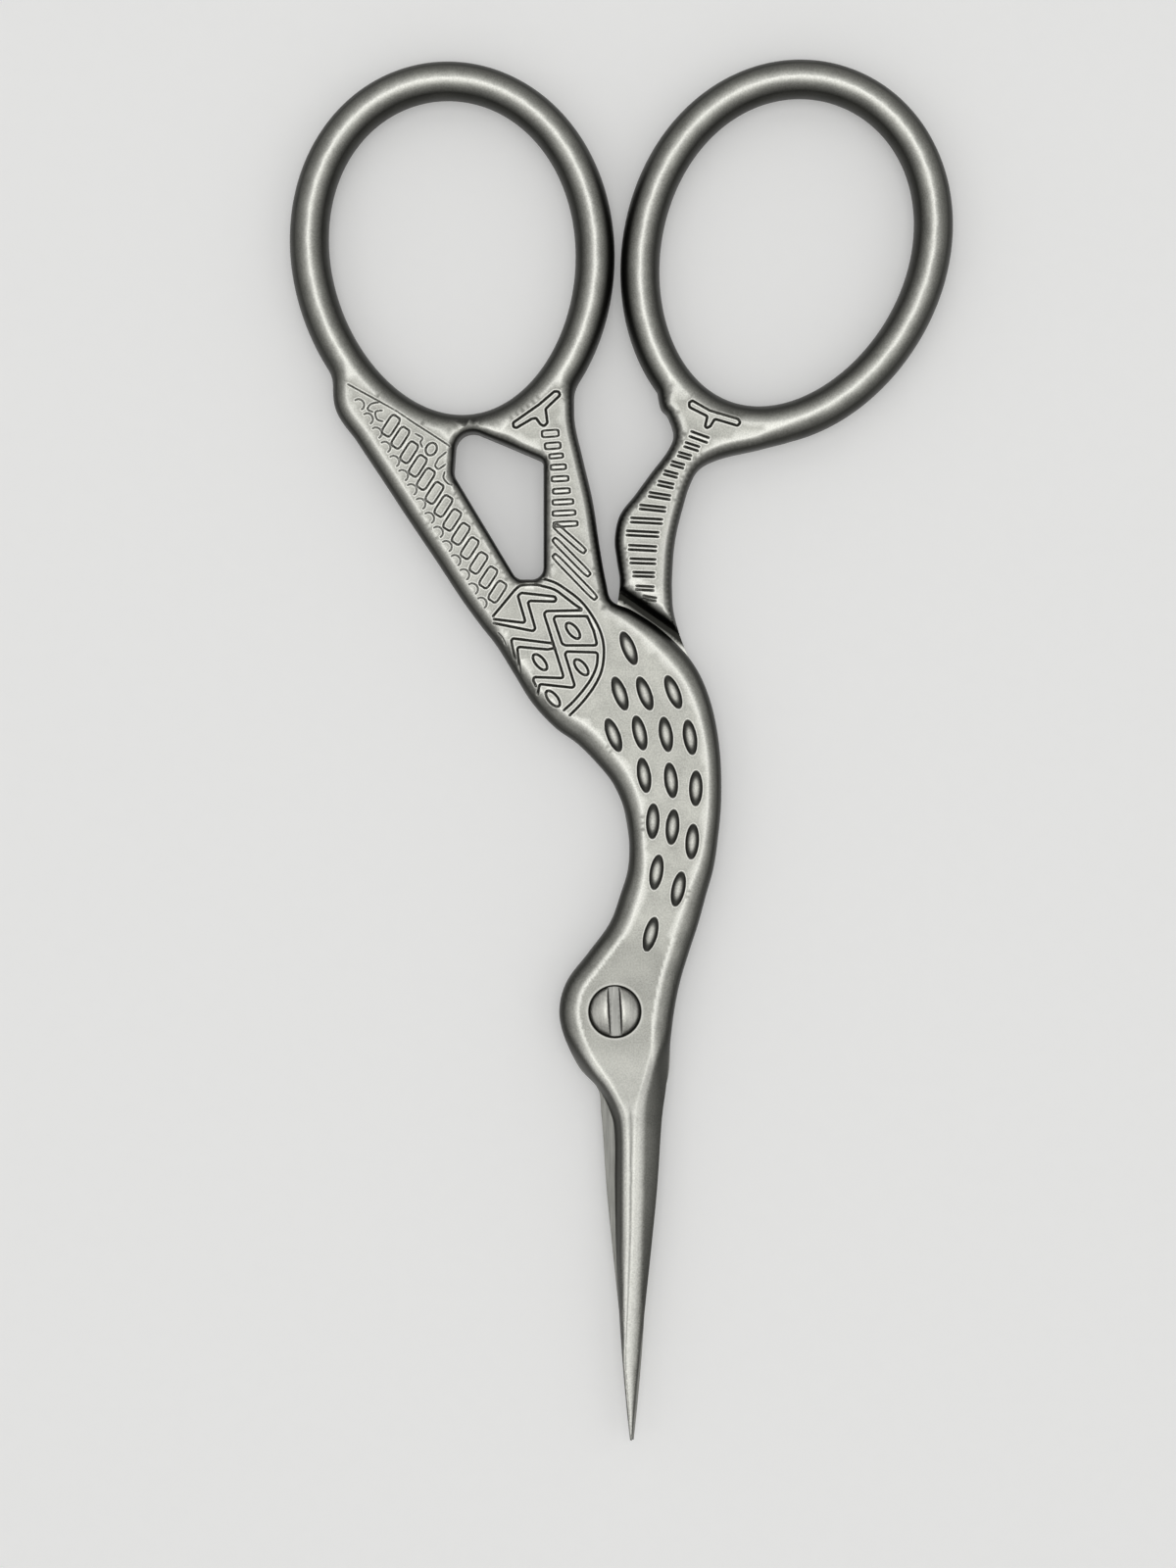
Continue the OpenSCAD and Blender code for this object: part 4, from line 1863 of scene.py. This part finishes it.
        # The blade's painted shade line, and the head's darker flat
        values["recess"] = values["recess"] + self.wear.head_shade(points[:, 1], inset)
        if side == self.lap_side:
            reach = self.lap_edge.nearest(points)[0]
            near = share_of(reach, self.lap_shoulder)
            wall = np.where(near < inset, wall * (1 - self.lap_drop * (1 - near)), wall)
            inset = np.minimum(inset, near)
            # A painted shadow in the gap beside the lap, and a painted highlight beyond it
            values["recess"], values["polish"] = self.wear.beside_lap(reach)
        if self.seat and side == TOP:
            # A painted highlight round the screw's seat
            bright = self.wear.round_seat(np.linalg.norm(points, axis=1), self.seat)
            values["polish"] = np.maximum(values["polish"], bright)
        return {"inset": inset, "wall": wall * MM, **values}

    def shoulder_rails(self, angles: Sequence[float]) -> Array:
        """Points beside the outline, where the round shoulders bend.

        Args:
            angles: the bends that get a row of points, in degrees.

        Returns:
            The points.
        """
        found = []
        for loop, trait in zip(self.loops, self.traits):
            run = np.roll(loop, -1, 0) - np.roll(loop, 1, 0)
            inward = left_of(run)
            for k, angle in enumerate(angles):
                reach = trait[:, 0] * (1 - math.cos(math.radians(angle)))
                chosen = slice(k % 2, None, 1 if angle < 50 else 2)
                beside, wanted = (loop + inward * reach[:, None])[chosen], reach[chosen]
                found.append(beside[self.edge.nearest(beside)[0] > 0.93 * wanted])
        return np.vstack(found)

    def lap_rails(self) -> Array:
        """Points beside the lap's edge, where its shoulder bends.

        Returns:
            The points.
        """
        line = evened(self.lap, 0.25)
        run = np.roll(line, -1, 0) - np.roll(line, 1, 0)
        out = -left_of(run)
        reaches = [self.lap_shoulder * (1 - math.cos(math.radians(a))) for a in self.lap_bends]
        return np.vstack([line + out * sign * reach for reach in reaches for sign in (1, -1)])

    def build(self, tree: ShapeTree, material: bpy.types.Material) -> bpy.types.Object:
        """Makes and dresses the half.

        Args:
            tree: the shape tree.
            material: its material.

        Returns:
            The piece, which replaces the half's CAD node.
        """
        self.plan()
        faces = {TOP: FacePlan(carved=True), BOTTOM: FacePlan(carved=True)}
        for plan, bends, step in zip(faces.values(), (self.top_bends, self.bottom_bends), self.mark_steps):
            plan.points += [self.shoulder_rails(bends), self.carving.rails(step)]
        flip = np.array([-1.0, 1.0]) if self.mirrored_blade else np.ones(2)
        shift = np.array([2 * BEAK_MIDDLE, 0]) * self.mirrored_blade
        faces[-self.lap_side].points.append(self.facets.rails() * flip + shift)
        faces[-self.lap_side].creases += [line * flip + shift for line in self.facets.lines()]
        faces[self.lap_side].zones.append(Zone(self.lap, -self.lap_side * MATING_Z, shaded=1.0))
        faces[self.lap_side].points.append(self.lap_rails())
        if self.seat:
            # The seat round the screw's head is all painted shade, for the dark gap about the head
            faces[TOP].zones.append(Zone(circle(self.seat, 96), self.seat_level, 0.0, 1.0))
            faces[TOP].points += [circle(self.seat + out, 120) for out in self.seat_rings]
            head = grid_points(self.head_low, self.head_high, self.head_step).reshape(-1, 2)
            faces[TOP].points.append(head[np.linalg.norm(head, axis=1) > self.seat + self.head_clear])
        self.loops.append(circle(self.hole, 80))
        slab = Slab(self.name, self.loops, faces)
        piece = finished(self.name, slab.build(self.form), tree, self.carving, material)
        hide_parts(self.node)
        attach(piece, self.body)
        return piece


@dataclass
class SlottedScrew:
    """The pivot screw: a domed head with a slot, a shank and a threaded end."""

    head: float = 1.7
    shank: float = 1.2
    thread: float = 1.0
    rim: float = 1.38
    underside: float = 0.9
    slot_width: float = 0.7
    slot_floor: float = 1.25
    slot_turn: float = 3.0
    slot_edge: float = 0.12
    slot_reach: float = 9.0
    # How the dome and the slot's shoulders bend, and the painted shade line in the slot's corners
    dome_bend: float = 2.6
    edge_bend: float = 0.7
    dark_core: float = 1.4
    dark_half: float = 0.06
    # Mesh points on the dome: rings about its middle, and rows beside the slot
    rings: tuple[float, ...] = (0.35, 0.7, 1.0, 1.2, 1.35, 1.48, 1.57, 1.63, 1.67)
    slot_rows: tuple[float, ...] = (0.04, 0.1, 0.17)
    row_reach: float = 1.65

    def form(self, points: Array, side: int) -> dict[str, Any]:
        """The dome's attributes: as high as a shallow cap at each distance from the middle.

        Args:
            points: the points.
            side: TOP or BOTTOM.

        Returns:
            The attributes, by name.
        """
        reach = share_of(np.linalg.norm(points, axis=1), self.head)
        across = np.abs(turned(points, -self.slot_turn)[:, 0]) - self.slot_width / 2
        cap = share_of(1 - reach**self.dome_bend) * share_of(across, self.slot_edge) ** self.edge_bend
        inset = 1 - np.sqrt(1 - cap**2)
        wall = self.rim
        if side == BOTTOM:
            inset, wall = inset * 0, -self.underside
        zero = np.zeros(len(points))
        # A painted shade line in the slot's corners
        dark = soft_line(across, self.dark_half, self.dark_core) * (side == TOP)
        flat = dict.fromkeys(("bevel", "land", "spine", "blade"), zero)
        return {"inset": inset, "wall": zero + wall * MM, "recess": dark, **flat}

    def build(self, tree: ShapeTree, material: bpy.types.Material) -> bpy.types.Object:
        """Makes and dresses the screw, which replaces its CAD node.

        Args:
            tree: the shape tree.
            material: its material.

        Returns:
            The piece.
        """
        half, end = self.slot_width / 2, self.slot_reach
        slot = turned(np.array([(-half, -end), (half, -end), (half, end), (-half, end)]), self.slot_turn)
        rings = [circle(r, 72) for r in self.rings]
        row = np.linspace(-self.row_reach, self.row_reach, 33)
        for side in (-1, 1):
            for out in self.slot_rows:
                beside = np.stack([np.full(len(row), side * (half + out)), row], 1)
                rings.append(turned(beside, self.slot_turn))
        bottom = [Zone(circle(self.shank, 72), -MATING_Z), Zone(circle(self.thread, 64), -HALF_T)]
        slab = Slab(
            "slotted_screw",
            [circle(self.head, 120)],
            {TOP: FacePlan([Zone(slot, self.slot_floor, 1.0)], rings), BOTTOM: FacePlan(bottom)},
            fill=0.25,
        )
        piece = finished("slotted_screw", slab.build(self.form), tree, None, material)
        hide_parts("pivot_screw")
        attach(piece, "back")
        return piece


# ---------------------------------------------------------------- the scissors' own numbers

# Left edge x, y, right edge x, y, left and right shoulder width, from the ring down
NECK = (
    (0.98, 11.8, 7.10, 11.8, 1.0, 1.0),
    (0.92, 9.8, 6.80, 9.8, 1.2, 1.15),
    (0.40, 8.0, 6.30, 8.0, 1.3, 1.35),
    (-0.35, 6.0, 5.75, 6.0, 1.3, 1.45),
    (-1.80, 4.0, 5.10, 4.0, 1.3, 1.5),
    (-3.30, 2.0, 4.50, 2.0, 1.35, 1.5),
    (-3.82, 0.0, 4.10, 0.0, 1.45, 1.5),
    (-3.40, -2.0, 3.85, -2.0, 1.4, 1.45),
)
BLADE_ROOT, BLADE_TIP = 8.5, 29.6
BLADE_WIDTH, TIP_WIDTH, TAPER = 3.17, 0.14, 1.4
TIP_SHIFT, TIP_BEND = 1.05, 2.3


def blade_row(f: float) -> tuple[float, ...]:
    """A row of the blade, a share f of the way from its root to its tip.

    Args:
        f: the share.

    Returns:
        The row, as in the tables of rows.
    """
    y = -(BLADE_ROOT + (BLADE_TIP - BLADE_ROOT) * f)
    edge = TIP_SHIFT * f**TIP_BEND
    width = BLADE_WIDTH + (TIP_WIDTH - BLADE_WIDTH) * f**TAPER
    return (edge, y, edge + width, y, 1.0, 1.0)


HEAD_TO_TIP = (
    (-1.10, -5.4, 3.52, -5.4, 1.2, 1.5),
    (-0.30, -7.0, 3.30, -7.0, 1.0, 1.8),
    *(blade_row(f) for f in (0, 0.18, 0.36, 0.54, 0.72, 0.88, 1)),
)
MIRRORED_TIP = tuple(
    (2 * BEAK_MIDDLE - r[2], r[3], 2 * BEAK_MIDDLE - r[0], r[1], r[5], r[4]) for r in HEAD_TO_TIP
)
FRONT_ROWS = (
    (-19.30, 41.70, -2.80, 42.1, 1.0, 0.7),
    (-17.70, 39.10, -2.72, 40.3, 1.0, 0.7),
    (-15.94, 36.45, -2.20, 38.0, 1.0, 0.7),
    (-14.07, 33.60, -1.50, 35.0, 1.0, 0.7),
    (-12.25, 30.90, -1.05, 32.0, 1.0, 0.7),
    (-10.54, 28.30, -0.60, 29.5, 1.0, 0.7),
    (-9.30, 26.60, -0.20, 28.2, 1.0, 0.7),
    (-8.13, 25.10, 1.10, 27.6, 1.0, 1.0),
    (-6.92, 23.15, 2.70, 26.6, 1.0, 1.2),
    (-5.70, 21.20, 4.00, 25.5, 1.15, 1.3),
    (-4.13, 19.50, 5.25, 24.1, 1.35, 1.3),
    (-2.60, 18.40, 6.15, 22.5, 1.45, 1.2),
    (-1.30, 17.10, 6.85, 20.3, 1.4, 1.1),
    (-0.10, 15.60, 7.27, 17.5, 1.3, 1.0),
    (0.70, 13.70, 7.33, 14.4, 1.2, 1.0),
    *NECK,
    (-2.30, -4.0, 3.66, -4.0, 1.3, 1.2),
    *HEAD_TO_TIP,
)
BACK_ROWS = (
    (3.05, 41.9, 12.80, 39.50, 0.7, 0.9),
    (3.65, 40.9, 10.20, 38.70, 0.7, 0.9),
    (4.05, 39.6, 7.40, 38.05, 0.7, 0.9),
    (3.60, 38.45, 5.85, 37.30, 0.7, 0.7),
    (2.50, 37.0, 5.15, 36.1, 0.7, 0.7),
    (1.40, 35.5, 4.72, 34.7, 0.7, 0.7),
    (0.35, 34.1, 4.35, 33.3, 0.7, 0.7),
    (0.00, 32.5, 4.10, 31.9, 0.7, 0.7),
    (0.15, 31.0, 3.98, 30.4, 0.7, 0.7),
    (0.35, 29.5, 3.95, 28.9, 0.7, 0.7),
    (0.10, 27.6, 4.10, 27.2, 0.7, 0.7),
    (-0.60, 25.0, 4.85, 24.9, 0.7, 1.0),
    (-1.20, 22.0, 6.25, 22.2, 0.7, 1.2),
    (-1.50, 20.0, 6.88, 20.0, 0.7, 1.1),
    (-1.10, 18.0, 7.22, 18.0, 0.7, 1.0),
    (-0.40, 16.3, 7.33, 16.2, 0.9, 1.0),
    (0.50, 14.4, 7.30, 14.2, 1.0, 1.0),
    *NECK,
    (-2.40, -4.0, 3.76, -4.0, 1.4, 1.2),
    *MIRRORED_TIP,
)
FRONT_LAP = np.array(
    [(60, 29.6), (-0.34, 29.6), (-0.34, 27.6), (-1.04, 25), (-1.64, 22), (-1.94, 20), (-1.54, 18)]
    + [(-60, -5), (-60, -60), (60, -60)],
    float,
)
BACK_LAP = np.array([(-46.2, 61.376), (52.1, -7.455), (60, -60), (-60, -60), (-60, 61.4)], float)
TAIL_OPENING = (
    (-9.75, 38.55, 1.2),
    (-5.30, 37.55, 0.4),
    (-5.70, 30.45, 0.8),
    (-6.35, 30.35, 0.7),
    (-9.95, 37.10, 1.1),
)

FEATHERS = (
    (0.95, 24.9, 22), (0.35, 21.8, 20), (2.05, 21.8, 20), (4.0, 21.9, 22), (-0.1, 18.95, 21), (1.7, 19.1, 14),
    (3.5, 19.0, 9), (5.15, 18.8, 9), (2.0, 16.2, 9), (3.85, 15.85, 7), (5.55, 15.3, -1), (2.6, 13.05, -2),
    (3.95, 12.65, -5), (5.3, 11.65, -4), (2.85, 9.55, -9), (4.35, 8.4, -12), (2.45, 5.3, -15),
)
WING = (
    curved([(-4.95, 29.68), (-4.1, 29.4), (-3.3, 28.9), (-2.4, 28.2), (-1.7, 27.35), (-1.1, 26.3), (-0.8, 25.3),
            (-0.76, 24.3), (-0.93, 23.3), (-1.35, 22.4), (-1.9, 21.6), (-2.5, 20.9), (-3.1, 20.3)]),
    ((-8.35, 27.1), (-7.6, 28.0), *curved([(-6.9, 28.85), (-6.45, 29.2), (-5.7, 29.3), (-4.9, 29.15),
                                          (-4.1, 28.9), (-3.4, 28.4), (-2.75, 27.9), (-2.3, 27.6)])),
    ((-8.3, 26.9), (-6.1, 26.63), (-6.65, 28.5), (-6.4, 28.7), (-4.15, 28.45), (-4.0, 28.3), (-4.1, 28.1),
     (-5.85, 28.15), (-5.95, 28.0), (-5.45, 26.25), (-5.6, 26.08), (-8.3, 26.62)),
    ((-2.3, 27.5), (-4.7, 27.45), (-4.85, 27.25), (-3.48, 22.85), (-5.55, 22.93), (-5.6, 22.7), (-5.4, 22.3)),
    ((-1.9, 27.1), (-4.05, 27.1), (-4.2, 26.95), (-3.62, 25.22), (-3.4, 25.1), (-1.2, 25.1), (-1.45, 26.1),
     (-1.9, 27.1)),
    ((-5.3, 21.75), (-5.15, 22.45), (-2.9, 22.2), (-2.75, 22.35), (-3.42, 24.5), (-3.3, 24.68), (-1.3, 24.62),
     *curved([(-1.17, 24.5), (-1.25, 23.7), (-1.6, 22.85), (-2.2, 22.0), (-2.85, 21.25), (-3.5, 20.65)])),
    ((-4.35, 25.25), (-7.0, 25.58), (-7.1, 25.4), (-6.85, 24.2)),
    ((-4.1, 24.92), (-4.6, 24.82), (-6.6, 25.0), (-6.68, 24.85), (-6.5, 23.2)),
)
WING_OVALS = ((-2.87, 26.1), (-5.13, 23.95), (-2.3, 23.6), (-4.25, 21.45))
# Lean, width and length of each mark of a kind, and a feather's width and length
WING_OVAL, TAIL_CELL, SCALLOP = (40, 0.62, 1.32), (-33, 0.7, 1.5), (35, 0.72, 0.78)
FEATHER = (0.92, 2.45)
# The one oval at the tail's root, and the scallops' row: its two ends and their number
TAIL_OVAL = Mark(-12.58, 38.55, -30, 0.72, 0.9)
SCALLOPS_FROM, SCALLOPS_TO, SCALLOP_COUNT = (-17.55, 41.6), (-9.15, 28.0), 15
TAIL_CELLS = (
    (-15.35, 40.15), (-14.7, 39.33), (-14.1, 38.33), (-13.5, 37.4), (-12.95, 36.5), (-12.36, 35.55),
    (-11.75, 34.65), (-11.15, 33.7), (-10.56, 32.74), (-9.95, 31.76), (-9.34, 30.75), (-8.67, 29.76),
    (-8.05, 28.78),
)
TAIL_LINES = (
    ((-18.3, 43.0), (-16.2, 41.85), (-15, 41.2), (-13.7, 40.3), (-12.6, 39.6), (-11.3, 38.75)),
    ((-11.55, 38.35), (-12.1, 37.9), (-12.35, 37.4), (-12.1, 37.15), (-11.6, 37.5)),
    curved([(-11.65, 37.0), (-11.75, 36.6), (-11.45, 36.2), (-11.15, 36.1)]),
    ((-13.65, 39.6), (-13.1, 39.3), (-13.35, 39.05), (-13.2, 38.7)),
    curved([(-15.95, 41.2), (-16.4, 41.1), (-16.3, 40.6), (-15.9, 40.45)]),
    curved([(-16.2, 41.75), (-16.7, 41.65), (-16.95, 41.3), (-16.6, 41.1)]),
    curved([(-8.0, 25.95), (-7.7, 25.6), (-7.5, 25.15)]),
)
LEFT_TEE = (
    (-6.98, 40.35), (-5.2, 41.6), (-4.15, 42.5), (-3.85, 42.5), (-3.75, 42.25), (-4.75, 41.3), (-4.62, 40.35),
    (-4.85, 40.12), (-5.1, 40.25), (-5.4, 40.68), (-5.7, 40.62), (-6.75, 40.0), (-6.95, 40.08),
)
RIGHT_TEE = (
    (5.08, 41.72), (5.3, 41.88), (6.5, 41.2), (8.45, 40.62), (8.6, 40.38), (8.42, 40.15), (6.85, 40.62),
    (6.55, 40.12), (6.3, 39.98), (6.18, 40.12), (6.35, 40.8), (5.12, 41.42),
)
# Middle y, left x, right x, tilt and width of the rungs
LEFT_RUNGS = (
    (39.62, -5.0, -3.85, 4, 0.46), (38.78, -4.8, -3.72, 4, 0.42), (38.08, -4.5, -3.55, 5, 0.3),
    (37.32, -4.4, -3.35, 3, 0.34), (36.52, -4.33, -3.18, 3, 0.34), (35.68, -4.25, -3.08, 3, 0.34),
    (34.93, -4.27, -2.85, 3, 0.34), (34.17, -4.27, -2.7, 3, 0.34), (33.42, -4.2, -2.55, 3, 0.34),
)
RIGHT_RUNGS = (
    (39.38, 5.15, 6.4, -20, 0.36), (38.72, 4.8, 5.75, -18, 0.3), (38.1, 4.35, 5.2, -16, 0.26),
    (37.48, 3.87, 4.72, -16, 0.26), (36.84, 3.38, 4.28, -15, 0.26), (36.12, 2.98, 4.0, -12, 0.28),
    (35.34, 2.35, 3.78, -9, 0.28), (34.5, 1.73, 3.45, -6, 0.28), (33.64, 1.12, 3.22, -3, 0.3),
    (32.75, 0.83, 2.98, -3, 0.3), (31.77, 0.98, 2.82, -3, 0.3), (30.87, 1.08, 2.76, -2, 0.3),
    (29.96, 1.28, 2.68, -2, 0.28), (29.02, 1.48, 2.64, -3, 0.26), (28.32, 1.95, 2.8, -10, 0.22),
)
LEFT_STRIPES = (((-4.15, 33.35), (-2.05, 31.5)), ((-4.2, 32.4), (-1.75, 29.9)), ((-4.2, 31.3), (-1.3, 28.3)))


def rung(y: float, left: float, right: float, tilt: float, width: float) -> Mark:
    """An outlined rung from its middle height, its two ends, its tilt and its width."""
    return Mark((left + right) / 2, y, tilt - 90, width, right - left)


def stripe(start: tuple[float, float], end: tuple[float, float], width: float = 0.4) -> Mark:
    """An outlined slanting stripe between two points.

    Args:
        start: its first end.
        end: its other end.
        width: its width.

    Returns:
        The stripe as a mark.
    """
    dx, dy = end[0] - start[0], end[1] - start[1]
    lean = math.degrees(math.atan2(dy, dx)) - 90
    return Mark((start[0] + end[0]) / 2, (start[1] + end[1]) / 2, lean, width, math.hypot(dx, dy))


def bird_carving() -> Carving:
    """All the marks of the bird: feathers, wing, tail and the legs' ladders.

    Returns:
        The carving, which both halves share.
    """
    slots = [rung(*r) for r in LEFT_RUNGS] + [stripe(*ends) for ends in LEFT_STRIPES]
    cells = tuple(Mark(x, y, *TAIL_CELL) for x, y in TAIL_CELLS)
    start, end = np.array(SCALLOPS_FROM), np.array(SCALLOPS_TO)
    places = start + (end - start) * np.linspace(0, 1, SCALLOP_COUNT)[:, None]
    scallops = tuple(Mark(x, y, *SCALLOP) for x, y in places.tolist())
    bold = [
        DrawnLines(WING, bend=0.15),
        DrawnLines((LEFT_TEE, RIGHT_TEE), closed=True, bend=0.12),
        MarkRows(MarkKind.OVAL, tuple(Mark(x, y, *WING_OVAL) for x, y in WING_OVALS)),
        MarkRows(MarkKind.PAIR, tuple(rung(*r) for r in RIGHT_RUNGS)),
    ]
    fine = [
        MarkRows(MarkKind.SLOT, tuple(slots), corner=0.2),
        MarkRows(MarkKind.SLOT, cells, corner=0.22),
        MarkRows(MarkKind.OVAL, (TAIL_OVAL,)),
    ]
    faint = [MarkRows(MarkKind.SCALLOP, scallops), DrawnLines(TAIL_LINES)]
    cuts = {
        "Bold": Cut(bold, half=0.095, depth=0.11, dark=0.74),
        "Fine": Cut(fine, half=0.075, depth=0.075, dark=0.70),
        "Faint": Cut(faint, half=0.055, depth=0.045, dark=0.5),
    }
    return Carving(cuts, tuple(Mark(x, y, lean, *FEATHER) for x, y, lean in FEATHERS))


# ---------------------------------------------------------------- studio


@dataclass(frozen=True)
class Studio:
    """A pale floor, a soft lamp above, three round about, a plain sky and a camera straight above."""

    look_x: float = -0.002303
    look_y: float = -0.00236
    camera_height: float = 0.2834
    half_view: float = 0.05405
    sensor: float = 36.0
    # Tilt from upright, turn about it, size, distance and power of each lamp
    lamps: tuple[tuple[float, float, float, float, float], ...] = (
        (0.0, 0.0, 0.45, 0.75, 1.15),
        (38.0, 100.0, 0.25, 0.60, 0.10),
        (38.0, 200.0, 0.25, 0.60, 0.10),
        (38.0, -20.0, 0.25, 0.60, 0.10),
    )
    sky: float = 0.45
    floor_half: float = 3
    clip: tuple[float, float] = (0.01, 10)

    def build(self) -> None:
        """Makes the floor, the lamps, the plain sky and the camera."""
        floor = bpy.data.meshes.new("floor")
        far = self.floor_half
        corners = [(-far, -far, 0), (far, -far, 0), (far, far, 0), (-far, far, 0)]
        floor.from_pydata(corners, [], [(0, 1, 2, 3)])
        floor.materials.append(PaleFloor().build())
        things = [new_object("floor", floor)]
        for k, (tilt, turn, size, distance, watts) in enumerate(self.lamps):
            light = bpy.data.lights.new(f"soft_lamp_{k}", "AREA")
            light.size, light.energy = size, watts
            lamp = bpy.data.objects.new(light.name, light)
            off, about = math.radians(tilt), math.radians(turn)
            way = Vector((math.sin(off) * math.cos(about), math.sin(off) * math.sin(about), math.cos(off)))
            lamp.location = way * distance
            lamp.rotation_euler = way.to_track_quat("Z", "Y").to_euler()
            bpy.context.scene.collection.objects.link(lamp)
            things.append(lamp)
        world = bpy.data.worlds.new("studio")
        world.use_nodes = True
        plain = world.node_tree.nodes["Background"]
        plain.inputs["Color"].default_value = (self.sky, self.sky, self.sky, 1)
        bpy.context.scene.world = world
        lens = bpy.data.cameras.new("camera")
        lens.sensor_width = self.sensor
        lens.lens = self.sensor / 2 * (self.camera_height - HALF_T * MM) / self.half_view
        lens.clip_start, lens.clip_end = self.clip
        camera = bpy.data.objects.new("camera", lens)
        camera.location = (self.look_x, self.look_y, self.camera_height)
        bpy.context.scene.collection.objects.link(camera)
        bpy.context.scene.camera = camera
        bpy.context.scene.view_settings.view_transform = "Standard"


def main() -> None:
    """Builds the scissors and the studio, in order."""
    logging.basicConfig(level=logging.INFO, format="%(name)s %(message)s")
    satin = SatinCoat().build()
    steel = SatinCoat(
        "screw_steel",
        flat=(0.78, 0.775, 0.71),
        ground=(0.25, 0.25, 0.233),
        ground_share=0.4,
        roughness=0.38,
    ).build()
    carving = bird_carving()
    tree = shape_tree()
    ScissorHalf(
        name="back_half",
        node="bottom_half",
        body="back",
        ring=EggRing(centre=(11.6481, 52.179), lean=-20),
        ring_angles=(226, 146),
        ring_shoulders=(0.7, 0.9),
        rows=BACK_ROWS,
        lap=BACK_LAP,
        lap_side=TOP,
        lap_shoulder=0.9,
        hole=1.0,
        carving=carving,
        mirrored_blade=True,
        facets=BladeFacets(lines_end=-5.6),
    ).build(tree, satin)
    ScissorHalf(
        name="front_half",
        node="top_half",
        body="front",
        ring=EggRing(centre=(-11.1159, 51.8615), lean=6.6),
        ring_angles=(246, 128),
        ring_shoulders=(1.0, 0.7),
        rows=FRONT_ROWS,
        lap=FRONT_LAP,
        lap_side=BOTTOM,
        lap_shoulder=0.3,
        hole=1.24,
        carving=carving,
        seat=1.82,
        opening=TAIL_OPENING,
    ).build(tree, satin)
    SlottedScrew().build(tree, steel)
    Studio().build()


if __name__ == "__main__":
    main()
